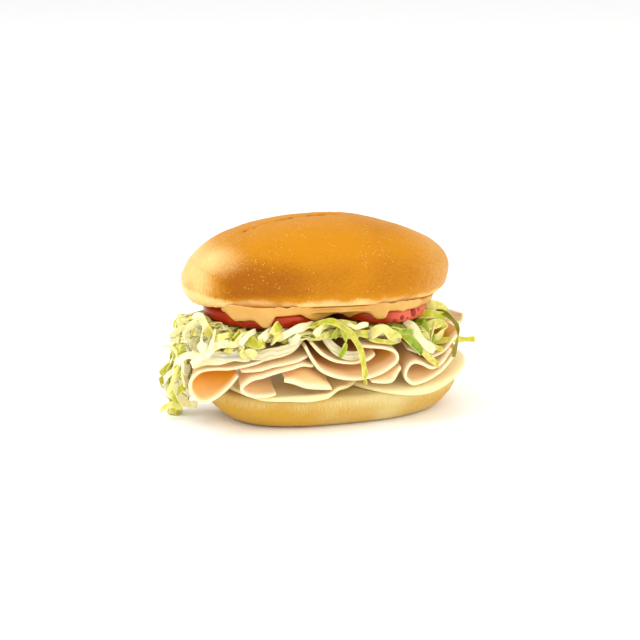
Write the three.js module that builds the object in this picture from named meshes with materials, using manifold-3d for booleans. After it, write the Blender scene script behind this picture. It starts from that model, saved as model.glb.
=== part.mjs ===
// A turkey sub: a split soft roll stacked with cheese, folded turkey, onion,
// shredded lettuce, tomato and a creamy dressing.  Millimetres, +Z up.
// +X runs along the roll, -Y is the front, and z = 0 is what the roll stands on.
//
// Every layer is first laid out level, then settle() bends the whole stack at once,
// so that layers which are clear of each other stay clear.

import * as THREE from "three";
import Module from "manifold-3d";

const wasm = await Module();
wasm.setup();

// ---------------------------------------------------------------- driving sizes

const GAP = 0.35;                 // air kept between two pieces that touch

const HEEL = {                    // the lower half of the roll
  length: 142, width: 76, height: 20, squareness: 2.5,
};

const CROWN = {                   // the domed upper half, pushed a little to the left
  length: 147, width: 77, centreX: -8.5, underside: 69, shoulder: 10.5, dome: 32,
  squareness: 2.35, domeCurve: 2.08, peakShift: 6, endSlope: 2.1, farEndDrop: 0.13,
};

const CHEESE = {                  // two round slices, the left one climbing over the right
  thickness: 2.4, radiusLeft: 40, radiusRight: 39.5, leftX: -25, rightX: 36, y: -3,
  clearance: 0.6, climbFrom: 12, climbTo: 3,
};

const TURKEY = {                  // thin slices, each folded once or draped
  thickness: 1.8, columns: 18, rows: 3, edgeRounding: 3.5,
};

const DRAPE = {                   // how a draped slice comes out, from its hidden back edge
  backY: 22, layFlatTo: 16, shoulderAt: 5, kneeAt: 1.6, hemAt: 0.6,
  backDrop: 0.6, flatDrop: 0.4, shoulderDrop: 1.4, kneeShare: 0.55,
};

const CORNER_SLICE = {            // the slice that stands up at the right end
  frontY: -6, depth: 34, profile: [[40, 45.4], [50, 42.4], [60, 44], [67, 46.2], [72, 50.5]],
};

const TOMATO = {                  // two cut slices side by side
  thickness: 7, underside: 58, rim: 1.6, rimDraft: 0.3, faceInset: 1.4,
};

const SAUCE = {                   // a creamy layer that hangs over the tomato in drips
  wall: 2.3, tuck: 4, halfLength: 61, halfWidth: 36, squareness: 2.5, shiftX: -6.5,
  between: 1.4, skirtTop: 0.4, lip: 0.8, belly: 1.4,
};

const ONION = { thickness: 2.4, width: 4.4, twist: [1.0, 1.3] };

const LETTUCE = {                 // a heap of cut iceberg, spilling down at the left end
  shredThickness: 1.1, shredWidth: 5, slack: 0.7, top: 57.5, ground: 0.3,
  halfLength: 74, halfWidth: 33.5, centreX: -7, squareness: 2.4, seed: 19,
  perSide: 14, perEnd: 8, onSpill: 13, atFoot: 6, sideFrom: -74, sideRun: 136, anchorDepth: 12,
};

// How the finished stack settles: its edges bow down over the roll, its top leans
// down to the right, and the soft layers ripple.
const SETTLE = {
  bow: 2.6, bowHalfWidth: 38, bowStart: 13, bowFullTo: 44, bowEnd: 60,
  endRise: 5, endRiseFrom: 36, endRiseTo: 78,
  lean: 0.038, leanCentre: -10, leanStart: 28, leanFull: 60,
  ripple: 0.7, rippleAlong: 17, rippleAcross: 11, rippleStart: 24, rippleEnd: 56,
  rippleFade: 8,
};

// ---------------------------------------------------------------- small helpers

function smoothstep(from, to, value) {
  const t = Math.min(1, Math.max(0, (value - from) / (to - from)));
  return t * t * (3 - 2 * t);
}

function randomSource(seed) {
  let state = seed;
  return () => {
    state = (state + 0x6d2b79f5) | 0;
    let mixed = Math.imul(state ^ (state >>> 15), 1 | state);
    mixed = (mixed + Math.imul(mixed ^ (mixed >>> 7), 61 | mixed)) ^ mixed;
    return ((mixed ^ (mixed >>> 14)) >>> 0) / 4294967296;
  };
}

function geometryFrom(positions, index) {
  const geometry = new THREE.BufferGeometry();
  geometry.setAttribute("position", new THREE.Float32BufferAttribute(positions, 3));
  geometry.setIndex(index);
  return geometry;
}

// A point of a rounded oval, the plan shape of the roll and of what lies in it.
function ovalPoint(angle, halfLength, halfWidth, squareness) {
  const power = 2 / squareness;
  const c = Math.cos(angle);
  const s = Math.sin(angle);
  return [
    halfLength * Math.sign(c) * Math.abs(c) ** power,
    halfWidth * Math.sign(s) * Math.abs(s) ** power,
  ];
}

// A closed body from rings stacked from its lower pole to its upper pole.
// place(level, angle) gives a ring's point; the first and last levels are poles.
function ringSolid(levels, sides, place) {
  const positions = [];
  const index = [];
  positions.push(...place(levels[0], 0));
  for (const level of levels.slice(1, -1)) {
    for (let i = 0; i < sides; i += 1) {
      positions.push(...place(level, (2 * Math.PI * i) / sides));
    }
  }
  positions.push(...place(levels[levels.length - 1], 0));
  const rings = levels.length - 2;
  const last = 1 + rings * sides;
  for (let i = 0; i < sides; i += 1) {
    const next = (i + 1) % sides;
    index.push(0, 1 + next, 1 + i);
    for (let k = 0; k < rings - 1; k += 1) {
      const low = 1 + k * sides;
      const high = low + sides;
      index.push(low + i, low + next, high + next);
      index.push(low + i, high + next, high + i);
    }
    index.push(last, last - sides + i, last - sides + next);
  }
  return geometryFrom(positions, index);
}

// A thin closed solid on both sides of surface(u, v), with u and v from 0 to 1.
function sheetSolid(surface, columns, rows, thickness) {
  const positions = [];
  const index = [];
  const step = 1e-3;
  const at = (u, v) => surface(Math.min(1, Math.max(0, u)), Math.min(1, Math.max(0, v)));
  for (const side of [0.5, -0.5]) {
    for (let i = 0; i <= columns; i += 1) {
      for (let j = 0; j <= rows; j += 1) {
        const u = i / columns;
        const v = j / rows;
        const alongU = at(u + step, v).sub(at(u - step, v));
        const alongV = at(u, v + step).sub(at(u, v - step));
        const normal = alongU.cross(alongV).normalize();
        const point = at(u, v).addScaledVector(normal, side * thickness);
        positions.push(point.x, point.y, point.z);
      }
    }
  }
  const count = (columns + 1) * (rows + 1);
  const id = (i, j) => i * (rows + 1) + j;
  const quad = (a, b, c, d) => index.push(a, b, c, a, c, d);
  for (let i = 0; i < columns; i += 1) {
    for (let j = 0; j < rows; j += 1) {
      const corners = [id(i, j), id(i + 1, j), id(i + 1, j + 1), id(i, j + 1)];
      quad(...corners);
      const [a, b, c, d] = corners.map((corner) => corner + count);
      index.push(a, c, b, a, d, c);
    }
  }
  const rim = [];
  for (let i = 0; i < columns; i += 1) rim.push(id(i, 0));
  for (let j = 0; j < rows; j += 1) rim.push(id(columns, j));
  for (let i = columns; i > 0; i -= 1) rim.push(id(i, rows));
  for (let j = rows; j > 0; j -= 1) rim.push(id(0, j));
  rim.forEach((here, k) => {
    const next = rim[(k + 1) % rim.length];
    quad(next, here, here + count, next + count);
  });
  return geometryFrom(positions, index);
}

function asSolid(geometry) {
  const vertProperties = new Float32Array(geometry.getAttribute("position").array);
  const triVerts = new Uint32Array(geometry.getIndex().array);
  return new wasm.Manifold(new wasm.Mesh({ numProp: 3, vertProperties, triVerts }));
}

// A joined solid's geometry.
function asGeometry(solid) {
  const mesh = solid.getMesh();
  return geometryFrom(Array.from(mesh.vertProperties), Array.from(mesh.triVerts));
}

// The largest body of a solid, without the loose scraps a cut leaves.
function mainBody(solid) {
  const bodies = solid.decompose();
  return bodies.reduce((best, body) => (body.volume() > best.volume() ? body : best));
}

// ---------------------------------------------------------------- how the stack settles

function settlePoint(x, y, z) {
  const S = SETTLE;
  const bowed = Math.min(1, Math.max(0, z / S.bowStart)) * (1 - smoothstep(S.bowFullTo, S.bowEnd, z));
  const leaned = smoothstep(S.leanStart, S.leanFull, z);
  const rippleIn = smoothstep(S.rippleStart, S.rippleStart + S.rippleFade, z);
  const rippleOut = 1 - smoothstep(S.rippleEnd - S.rippleFade, S.rippleEnd, z);
  const bow = S.bow * (Math.abs(y) / S.bowHalfWidth) ** 4 * bowed;
  const rise = S.endRise * smoothstep(S.endRiseFrom, S.endRiseTo, x) * bowed;
  const lean = S.lean * (x - S.leanCentre) * leaned;
  const ripple = S.ripple * Math.sin(x / S.rippleAlong + y / S.rippleAcross) * rippleIn * rippleOut;
  return [x, y, z - bow + rise - lean + ripple];
}

function settle(geometry) {
  const position = geometry.getAttribute("position");
  for (let i = 0; i < position.count; i += 1) {
    position.setXYZ(i, ...settlePoint(position.getX(i), position.getY(i), position.getZ(i)));
  }
  return geometry;
}

// ---------------------------------------------------------------- the roll

// The ends of the heel slope more than its sides: low down an inset counts double along X.
const HEEL_END_SLOPE = 1.9;

function heelGeometry() {
  const { length, width, height, squareness } = HEEL;
  const levels = [
    { pole: true, z: 0 },
    { inset: 20, z: 0 }, { inset: 9.5, z: 0 }, { inset: 6, z: 1.6 }, { inset: 3, z: 5.5 },
    { inset: 1, z: 10.5 }, { inset: 0, z: 16 }, { inset: 0.2, z: 18.8 }, { inset: 1.4, z: height },
    { inset: 6, z: height }, { inset: 12, z: height }, { inset: 20, z: height }, { inset: 28, z: height },
    { inset: 35, z: height },
    { pole: true, z: height },
  ];
  return ringSolid(levels, 32, (level, angle) => {
    if (level.pole) return [0, 0, level.z];
    const slope = level.z < height / 2 ? HEEL_END_SLOPE : 1;
    const [x, y] = ovalPoint(angle, length / 2 - level.inset * slope, width / 2 - level.inset, squareness);
    return [x, y, level.z];
  });
}

function crownGeometry() {
  const { length, width, centreX, underside, squareness, endSlope } = CROWN;
  const { shoulder, dome, domeCurve, peakShift, farEndDrop } = CROWN;
  const levels = [
    { pole: true, z: 0 },
    { inset: 20, z: 0 }, { inset: 9, z: 0 }, { inset: 3, z: 0.2 }, { inset: 1.3, z: 1.8 },
    { inset: 0.3, z: 5.5 }, { inset: 0, z: shoulder },
  ];
  const domeSteps = 7;
  for (let i = 1; i < domeSteps; i += 1) {
    const angle = (Math.PI / 2) * (i / domeSteps);
    levels.push({
      scale: Math.cos(angle) ** (2 / domeCurve),
      z: shoulder + dome * Math.sin(angle) ** (2 / domeCurve),
    });
  }
  levels.push({ pole: true, z: shoulder + dome });
  return ringSolid(levels, 36, (level, angle) => {
    const rise = Math.max(0, level.z - shoulder) / dome;
    const shift = centreX + peakShift * rise * rise;
    if (level.pole) return [shift, 0, underside + level.z];
    const inset = level.inset ?? 0;
    const scale = level.scale ?? 1;
    const [x, y] = ovalPoint(
      angle, (length / 2 - inset * endSlope) * scale, (width / 2 - inset) * scale, squareness);
    const uneven = 1 + 0.012 * Math.sin(2 * angle + 0.6) + 0.008 * Math.sin(5 * angle + 1);
    const drop = 1 - farEndDrop * smoothstep(5, 60, x);
    const height = level.z > shoulder ? shoulder + (level.z - shoulder) * drop : level.z;
    return [x * uneven + shift, y * uneven, underside + height];
  });
}

// ---------------------------------------------------------------- cheese

// The left slice climbs over the edge of the right one.
function cheeseLift(x) {
  const rightEdge = CHEESE.rightX - CHEESE.radiusRight;
  const climb = smoothstep(rightEdge - CHEESE.climbFrom, rightEdge - CHEESE.climbTo, x);
  return (CHEESE.thickness + CHEESE.clearance) * climb;
}

function cheeseGeometry(centreX, radius, lift) {
  const low = HEEL.height + CHEESE.clearance;
  const levels = [
    { r: 0, side: 0 }, { r: 0.45, side: 0 }, { r: 0.75, side: 0 }, { r: 0.97, side: 0 }, { r: 1, side: 0.25 },
    { r: 1, side: 0.75 }, { r: 0.97, side: 1 }, { r: 0.75, side: 1 }, { r: 0.45, side: 1 }, { r: 0, side: 1 },
  ];
  return ringSolid(levels, 24, (level, angle) => {
    const wavy = radius * level.r * (1 + 0.012 * Math.sin(3 * angle + centreX));
    const x = centreX + wavy * Math.cos(angle);
    const y = CHEESE.y + wavy * Math.sin(angle);
    return [x, y, low + lift(x) + level.side * CHEESE.thickness];
  });
}

// ---------------------------------------------------------------- turkey

// How far forward the filling reaches at x: its plan is a long rounded oval.
const FILLING = { centreX: -8, halfLength: 92, halfWidth: 41 };

function fillingReach(x) {
  const along = Math.min(0.97, Math.abs(x - FILLING.centreX) / FILLING.halfLength);
  return FILLING.halfWidth * (1 - along ** 3) ** (1 / 3);
}

// Each folded slice is a cross-section [x, z] seen from the front, from one cut edge
// round the fold to the other; front and back are how far it stops short of the reach.
const FOLDED_SLICES = [
  { name: "turkey_1", front: 1.5, back: 36, nose: -1, hinge: -64, retract: 0.5,
    profile: [[-63, 34.6], [-70, 27.6], [-76, 23.8], [-81.5, 26], [-83, 32], [-79, 37],
      [-71, 39.4], [-60, 41.9], [-48, 44.4], [-34, 46]] },
  { name: "turkey_2", front: 0.5, back: 6, nose: -1, hinge: -40, retract: 0.3,
    profile: [[-60, 38.9], [-52, 40.6], [-40, 42.9], [-28, 43.6]] },
  { name: "turkey_3", front: 0, back: 2, nose: -1, hinge: -40, retract: 0.55,
    profile: [[-27.5, 40.8], [-38, 39.8], [-50, 37.2], [-58, 34.8], [-61.5, 31], [-59, 27.4],
      [-52, 25.6], [-42, 25.2]] },
  { name: "turkey_5", front: -1.5, back: 2, nose: 1, hinge: 8, retract: 0.35,
    profile: [[-25.5, 49.4], [-21, 40.2], [-11, 34], [-2.5, 31.8], [10, 33], [19, 37.2], [23.5, 41.6],
      [23, 46], [17.5, 48.6], [4, 48.8]] },
  { name: "turkey_6", front: 0, back: 8, nose: 1, hinge: 8, retract: 0.35,
    profile: [[-21.5, 50], [-16, 44.8], [-8, 40.8], [0, 39.6], [7, 40.8], [13, 43.8]] },
  { name: "turkey_8", front: -0.5, back: 2, nose: -1, hinge: 40, retract: 0.4,
    profile: [[63, 35], [56, 30.4], [47.5, 27.6], [40.5, 26.2], [33.5, 26.4], [29.5, 31], [31, 37],
      [35, 39.4], [39.5, 37.2], [46, 32.6], [52, 33], [59, 37]] },
  { name: "turkey_9", front: 4, back: 6, nose: 1, hinge: 60, retract: 0.2,
    profile: [[33, 43.6], [40, 41], [47, 36.8], [54, 37], [60, 40.6], [67, 42.6]] },
];

// Each draped slice lies under the fold above it and hangs down at the front.
// low is the hanging edge and top the line where it comes out, both as [x, z].
const DRAPED_SLICES = [
  { name: "turkey_4",
    top: [[-38, 35.4], [-30, 36.4], [-23, 35.4], [-14, 30.8]],
    low: [[-39, 33.6], [-34, 32], [-27, 29], [-18, 27.6], [-12, 27.2]] },
  { name: "turkey_7",
    top: [[10, 30.4], [16, 32], [22, 35.2], [27.4, 37.8]],
    low: [[10.5, 29.6], [16, 28.4], [22, 28.6], [27, 36.4]] },
];

function planeCurve(points) {
  const corners = points.map(([x, z]) => new THREE.Vector3(x, 0, z));
  return new THREE.CatmullRomCurve3(corners, false, "centripetal");
}

// A fold narrows towards its back: what lies beyond the hinge draws in towards it.
function foldedSliceGeometry({ profile, front, back, nose, hinge, retract }) {
  const curve = planeCurve(profile);
  curve.arcLengthDivisions = 400;
  const surface = (u, v) => {
    const point = curve.getPointAt(u);
    const reach = fillingReach(point.x);
    const roundness = TURKEY.edgeRounding * (2 * u - 1) ** 4;
    const near = -reach + front + roundness;
    const far = reach - back - roundness;
    const beyond = Math.max(0, (point.x - hinge) * nose) * nose;
    return new THREE.Vector3(point.x - beyond * retract * v, near + (far - near) * v, point.z);
  };
  return sheetSolid(surface, TURKEY.columns, TURKEY.rows, TURKEY.thickness);
}

function drapedSliceGeometry({ top, low }) {
  const topCurve = planeCurve(top);
  const lowCurve = planeCurve(low);
  const surface = (u, v) => {
    const above = topCurve.getPoint(u);
    const below = lowCurve.getPoint(u);
    const reach = -fillingReach(above.x);
    const kneeZ = above.z + (below.z - above.z) * DRAPE.kneeShare;
    const path = new THREE.CatmullRomCurve3([
      new THREE.Vector3(above.x, DRAPE.backY, above.z - DRAPE.backDrop),
      new THREE.Vector3(above.x, reach + DRAPE.layFlatTo, above.z - DRAPE.flatDrop),
      new THREE.Vector3(above.x, reach + DRAPE.shoulderAt, above.z - DRAPE.shoulderDrop),
      new THREE.Vector3((above.x + below.x) / 2, reach + DRAPE.kneeAt, kneeZ),
      new THREE.Vector3(below.x, reach + DRAPE.hemAt, below.z),
    ], false, "centripetal");
    return path.getPoint(v);
  };
  return sheetSolid(surface, 8, 7, TURKEY.thickness);
}

// The slice at the right end stands up at the back, behind the lettuce.
function cornerSliceGeometry() {
  const curve = planeCurve(CORNER_SLICE.profile);
  const surface = (u, v) => {
    const point = curve.getPointAt(u);
    return new THREE.Vector3(point.x, CORNER_SLICE.frontY + CORNER_SLICE.depth * v, point.z);
  };
  return sheetSolid(surface, 12, TURKEY.rows, TURKEY.thickness);
}

// ---------------------------------------------------------------- onion

const ONION_STRIPS = [
  { name: "onion_1",
    path: [[-68, -30, 47], [-56, -36.5, 47.4], [-44, -39.5, 48.8], [-34, -39.5, 50.8], [-28, -35, 53.4]] },
  { name: "onion_2",
    path: [[-15.5, -36, 53.4], [-11, -39.5, 49], [-5, -40.5, 46], [0, -40, 45.1], [3.5, -38, 45]] },
];

// A strip along a path, with its width standing up and turning with the path.
function stripSolid(path, width, thickness, segments, twistStart, twistEnd) {
  const curve = new THREE.CatmullRomCurve3(path.map((p) => new THREE.Vector3(...p)), false, "centripetal");
  const surface = (u, v) => {
    const centre = curve.getPointAt(u);
    const tangent = curve.getTangentAt(u);
    const level = new THREE.Vector3(-tangent.y, tangent.x, 0);
    if (level.lengthSq() < 1e-6) level.set(0, 1, 0);
    level.normalize();
    const across = level.applyAxisAngle(tangent, twistStart + (twistEnd - twistStart) * u);
    return centre.addScaledVector(across, (v - 0.5) * width);
  };
  return sheetSolid(surface, segments, 1, thickness);
}

function onionGeometry({ path }, extra = 0) {
  return stripSolid(path, ONION.width + extra, ONION.thickness + extra, 10, ...ONION.twist);
}

// ---------------------------------------------------------------- tomato

const TOMATO_SLICES = [
  { name: "tomato_left", x: -40, y: -3, radius: 33.5 },
  { name: "tomato_right", x: 22.5, y: -6, radius: 28.5 },
];

function tomatoGeometry(slice) {
  const { thickness, rim, rimDraft, faceInset } = TOMATO;
  const { radius } = slice;
  const levels = [
    [0, 0], [radius - faceInset, 0], [radius - rimDraft, rim], [radius, thickness / 2],
    [radius - rimDraft, thickness - rim], [radius - faceInset, thickness], [0, thickness],
  ];
  return ringSolid(levels, 30, ([r, z], angle) => {
    const lobed = r * (1 + 0.01 * Math.sin(3 * angle + slice.x));
    return [slice.x + lobed * Math.cos(angle), slice.y + lobed * Math.sin(angle), TOMATO.underside + z];
  });
}

// ---------------------------------------------------------------- dressing

// The dressing hangs over the tomato edges in drips: where round the slice, in
// radians from +X, how far below the slice's top, and how wide.
const DRIPS = {
  tomato_left: { from: -2.9, to: -0.48, drips: [[-2.5, 3.4, 0.3], [-2.2, 5, 0.25], [-1.87, 8.5, 0.16],
    [-1.66, 4.5, 0.12], [-0.99, 5.5, 0.2], [-0.5, 3, 0.2]] },
  tomato_right: { from: -2.6, to: -0.25, drips: [[-2.42, 5.5, 0.18], [-1.88, 5, 0.24], [-1.66, 5.2, 0.14],
    [-1.38, 4, 0.13], [-0.95, 2.6, 0.25], [-0.5, 2, 0.25]] },
};

function dripDepth(drips, angle) {
  return drips.reduce((depth, [at, drop, width]) => {
    const near = Math.exp(-(((angle - at) / width) ** 2));
    return Math.max(depth, SAUCE.between + (drop - SAUCE.between) * near);
  }, SAUCE.between);
}

function sauceSlab() {
  const low = TOMATO.underside + TOMATO.thickness + GAP;
  const high = CROWN.underside - GAP;
  const levels = [
    { s: 0, z: low }, { s: 0.6, z: low }, { s: 0.97, z: low }, { s: 1, z: (low + high) / 2 },
    { s: 0.97, z: high }, { s: 0.6, z: high }, { s: 0, z: high },
  ];
  return ringSolid(levels, 36, (level, angle) => {
    const spread = level.s * (1 + 0.02 * Math.sin(5 * angle));
    const [x, y] = ovalPoint(angle, SAUCE.halfLength * spread, SAUCE.halfWidth * spread, SAUCE.squareness);
    return [x + SAUCE.shiftX, y, level.z];
  });
}

function sauceSkirt(slice) {
  const top = CROWN.underside - GAP - SAUCE.skirtTop;
  const tomatoTop = TOMATO.underside + TOMATO.thickness;
  const inner = slice.radius * 1.01 + 0.55;
  const { from, to, drips } = DRIPS[slice.name];
  const columns = 22;
  const positions = [];
  const index = [];
  for (let i = 0; i <= columns; i += 1) {
    const angle = from + ((to - from) * i) / columns;
    const depth = dripDepth(drips, angle);
    const bulge = SAUCE.wall * (0.75 + 0.07 * depth);
    const section = [
      [inner - SAUCE.tuck, top], [inner - SAUCE.tuck, tomatoTop + GAP], [inner, tomatoTop + GAP],
      [inner, tomatoTop - depth + SAUCE.lip], [inner + bulge * 0.5, tomatoTop - depth],
      [inner + bulge, tomatoTop - depth + SAUCE.belly], [inner + bulge * 0.6, tomatoTop + 0.6],
      [inner + 0.4, top],
    ];
    for (const [r, z] of section) {
      positions.push(slice.x + r * Math.cos(angle), slice.y + r * Math.sin(angle), z);
    }
  }
  const ring = 8;
  for (let i = 0; i < columns; i += 1) {
    for (let k = 0; k < ring; k += 1) {
      const next = (k + 1) % ring;
      const a = i * ring;
      const b = a + ring;
      index.push(a + k, b + k, b + next, a + k, b + next, a + next);
    }
  }
  for (let k = 1; k < ring - 1; k += 1) {
    index.push(0, k, k + 1);
    index.push(columns * ring, columns * ring + k + 1, columns * ring + k);
  }
  return geometryFrom(positions, index);
}

function sauceGeometry() {
  let solid = asSolid(sauceSlab());
  for (const slice of TOMATO_SLICES) {
    solid = solid.add(asSolid(sauceSkirt(slice)));
  }
  return asGeometry(mainBody(solid));
}

// ---------------------------------------------------------------- lettuce

// The heap's underside, [x, z], follows the turkey and onion that it lies on.
const HEAP_UNDERSIDE = [
  [-84, 50], [-60, 47.4], [-36, 49.6], [-26, 51.8], [-18, 52.8], [0, 51], [20, 51],
  [30, 48.6], [42, 47.4], [60, 46.4], [68, 49], [76, 52.5],
];

function alongPoints(points, x) {
  if (x <= points[0][0]) return points[0][1];
  for (let i = 1; i < points.length; i += 1) {
    const [fromX, fromZ] = points[i - 1];
    const [toX, toZ] = points[i];
    if (x <= toX) return fromZ + ((toZ - fromZ) * (x - fromX)) / (toX - fromX);
  }
  return points[points.length - 1][1];
}

function heapCore() {
  const { top, halfLength, halfWidth, centreX, squareness } = LETTUCE;
  const levels = [
    { s: 0, side: 0 }, { s: 0.3, side: 0 }, { s: 0.62, side: 0 }, { s: 0.9, side: 0.08 }, { s: 1, side: 0.5 },
    { s: 0.93, side: 0.94 }, { s: 0.6, side: 1 }, { s: 0, side: 1 },
  ];
  return ringSolid(levels, 28, (level, angle) => {
    const uneven = 1 + 0.03 * Math.sin(7 * angle) + 0.02 * Math.sin(11 * angle + 2);
    const spread = level.s * uneven;
    const [dx, y] = ovalPoint(angle, halfLength * spread, halfWidth * spread, squareness);
    const x = centreX + dx;
    const low = alongPoints(HEAP_UNDERSIDE, x);
    return [x, y, low + (top - low) * level.side];
  });
}

// The spill leans against the left end: centre, half depth along Y, half thickness.
const SPILL = [
  { x: -70, y: 0, z: 55, deep: 0, thick: 0 },
  { x: -73, y: 0, z: 53.5, deep: 19, thick: 4 },
  { x: -81, y: 3, z: 48, deep: 18, thick: 4.5 },
  { x: -84, y: 9, z: 37, deep: 14, thick: 4.5 },
  { x: -83.5, y: 10, z: 24, deep: 14, thick: 5.5 },
  { x: -86, y: 12, z: 9, deep: 15, thick: 8.5 },
  { x: -88, y: 13, z: 0.4, deep: 13, thick: 11 },
  { x: -88, y: 13, z: 0.2, deep: 0, thick: 0 },
];

function spillCore() {
  const levels = SPILL.map((step, k) => {
    const before = SPILL[Math.max(0, k - 1)];
    const after = SPILL[Math.min(SPILL.length - 1, k + 1)];
    const run = new THREE.Vector2(after.x - before.x, after.z - before.z).normalize();
    return { ...step, acrossX: -run.y, acrossZ: run.x };
  });
  levels[levels.length - 2].acrossX = 1;
  levels[levels.length - 2].acrossZ = 0;
  return ringSolid(levels.reverse(), 12, (level, angle) => {
    const out = level.thick * Math.cos(angle);
    const along = level.deep * Math.sin(angle);
    return [level.x + level.acrossX * out, level.y + along, level.z + level.acrossZ * out];
  });
}

// The strands that stand out, each from inside the heap to its free end.
const STRANDS = [
  { path: [[-22, -27, 56], [-18, -34, 58], [-11, -38, 61], [-5, -41.5, 60], [-1, -44.5, 56], [2.5, -46, 50],
    [5.3, -46.4, 41], [6.4, -46.4, 33]], width: 3.6, twist: [0.2, 1.35], segments: 11 },
  { path: [[-16, -27, 55.5], [-10, -38, 59.5], [-6, -44, 56], [-5.5, -45.6, 51], [-9, -45.4, 47]],
    width: 3.4, twist: [0.4, 1.3], segments: 8 },
  { path: [[36, -24, 54], [42, -35, 54.5], [46, -40.5, 50], [48.5, -41.5, 44], [49, -41.5, 40]],
    width: 6.5, twist: [0.4, 1.2], segments: 7 },
  { path: [[-58, -22, 54], [-54, -34, 55], [-50, -42, 52.5], [-44, -44, 50], [-38, -43, 50]],
    width: 5.5, twist: [0.3, 1.0], segments: 7 },
  { path: [[44, -22, 55.5], [52, -31, 58.6], [58, -36.5, 55.5], [61, -38.8, 49], [60, -39.4, 42],
    [58.4, -39.2, 36]], width: 3, twist: [1.0, 1.4], segments: 9 },
  { path: [[50, -20, 54.5], [62, -27, 56], [72, -28, 52.5], [80, -26, 49.5]],
    width: 4, twist: [0.1, 0.6], segments: 6 },
];

// A shred that leaves the end of the heap, at an angle round it, and droops.
function endShred(angle, height, out, hang, sideways) {
  const { halfLength, halfWidth, centreX, squareness } = LETTUCE;
  const at = (shift, beyond) => {
    const turned = angle + shift / halfWidth;
    const [x, y] = ovalPoint(turned, halfLength, halfWidth, squareness);
    return [centreX + x + Math.cos(turned) * beyond, y + Math.sin(turned) * beyond];
  };
  return [
    [...at(0, -6), height],
    [...at(sideways * 0.25, out * 0.5), height + 1],
    [...at(sideways * 0.65, out), height - hang * 0.35],
    [...at(sideways, out), height - hang],
  ];
}

// A shred on the front (side -1) or back (side 1).  It comes out past the turkey and
// hangs there, or, as an arch, runs along the edge and back into the heap.
function sideShred(side, x, height, proud, hang, drift, isArch) {
  const inside = LETTUCE.halfWidth - LETTUCE.anchorDepth;
  const at = (shift, out) => [x + shift, side * (fillingReach(x + shift) + out)];
  const path = [
    [x, side * inside, height - 1],
    [...at(drift * 0.15, -6), height],
    [...at(drift * 0.4, proud - 1), height - hang * 0.15],
    [...at(drift * 0.75, proud + 0.5), height - hang * 0.6],
  ];
  if (!isArch) return [...path, [...at(drift, proud + 0.8), height - hang]];
  return [...path, [...at(drift * 1.25, -5), height - 1.5], [x + drift * 1.3, side * inside, height - 1.5]];
}

// Random draws that shape the shreds.
function shredDice() {
  const random = randomSource(LETTUCE.seed);
  const between = (low, high) => low + (high - low) * random();
  const either = () => (random() < 0.5 ? -1 : 1);
  return { random, between, either };
}

// Shreds in even steps along the front and the back, every third one an arch.
function sideShreds({ random, between, either }) {
  const shreds = [];
  for (const side of [-1, 1]) {
    for (let i = 0; i < LETTUCE.perSide; i += 1) {
      const x = LETTUCE.sideFrom + (LETTUCE.sideRun * (i + random())) / LETTUCE.perSide;
      const isArch = i % 3 === 1;
      const drift = either() * (isArch ? between(14, 22) : between(4, 13));
      const hang = isArch ? between(2, 7) : between(3, 13);
      shreds.push({
        path: sideShred(side, x, between(53.5, 56), between(2.8, 5), hang, drift, isArch),
        width: LETTUCE.shredWidth * between(0.75, 1.4),
        twist: [between(0.1, 0.7), between(0.8, 1.6)],
        segments: isArch ? 7 : 5,
      });
    }
  }
  return shreds;
}

// Shreds that fan out at the two ends.
function endShreds({ random, between, either }) {
  const fan = 1.7;
  const shreds = [];
  for (const facing of [0, Math.PI]) {
    for (let i = 0; i < LETTUCE.perEnd; i += 1) {
      const angle = facing + fan * ((i + random()) / LETTUCE.perEnd - 0.5);
      shreds.push({
        path: endShred(angle, between(53, 56.5), between(7, 12), between(3, 11), either() * between(4, 12)),
        width: LETTUCE.shredWidth * between(0.75, 1.4),
        twist: [between(0.1, 1.2), between(0.5, 1.6)],
        segments: 4,
      });
    }
  }
  return shreds;
}

// Shreds that stand off the outer face of the spill and fall to the left.
function spillShreds({ random, between }) {
  const proud = 5;
  const shreds = [];
  for (let i = 0; i < LETTUCE.onSpill; i += 1) {
    const k = 1 + Math.floor((SPILL.length - 4) * random());
    const t = random();
    const [a, b] = [SPILL[k], SPILL[k + 1]];
    const [x, y, z] = ["x", "y", "z"].map((axis) => a[axis] + (b[axis] - a[axis]) * t);
    const side = between(-1, 1);
    const out = between(3, 7);
    const fall = between(5, 14);
    const anchorY = y + side * a.deep * 0.7;
    shreds.push({
      path: [
        [x + 1, anchorY - side * 3, z + 2],
        [x - proud, anchorY, z + 1],
        [x - proud - out, anchorY + side * 5, z - fall * 0.4],
        [x - proud - out * 0.9, anchorY + side * 9 + between(-4, 4), Math.max(1.6, z - fall)],
      ],
      width: LETTUCE.shredWidth * between(0.7, 1.25),
      twist: [between(-0.6, 0.8), between(-1, 1.6)],
      segments: 4,
    });
  }
  return shreds;
}

// Shreds that lie round the foot of the spill, away from the roll.
function footShreds({ random, between }) {
  const foot = SPILL[SPILL.length - 2];
  const [nearX, nearY] = [9, 12];
  const shreds = [];
  for (let i = 0; i < LETTUCE.atFoot; i += 1) {
    const angle = 1.2 + (3.9 * (i + 0.6 * random())) / LETTUCE.atFoot;
    const reach = between(5, 11);
    const at = (outX, outY, z) => [foot.x + Math.cos(angle) * outX, foot.y + Math.sin(angle) * outY, z];
    shreds.push({
      path: [
        at(4, 7, 5), at(nearX, nearY, 5.5), at(nearX + reach * 0.6, nearY + reach * 0.5, 3.4),
        at(nearX + reach, nearY + reach, 1.9),
      ],
      width: LETTUCE.shredWidth * between(0.6, 0.95),
      twist: [between(-0.5, 0.3), between(-0.2, 0.3)],
      segments: 3,
    });
  }
  return shreds;
}

function scatterShreds() {
  const dice = shredDice();
  return [...sideShreds(dice), ...endShreds(dice), ...spillShreds(dice), ...footShreds(dice)];
}

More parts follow.
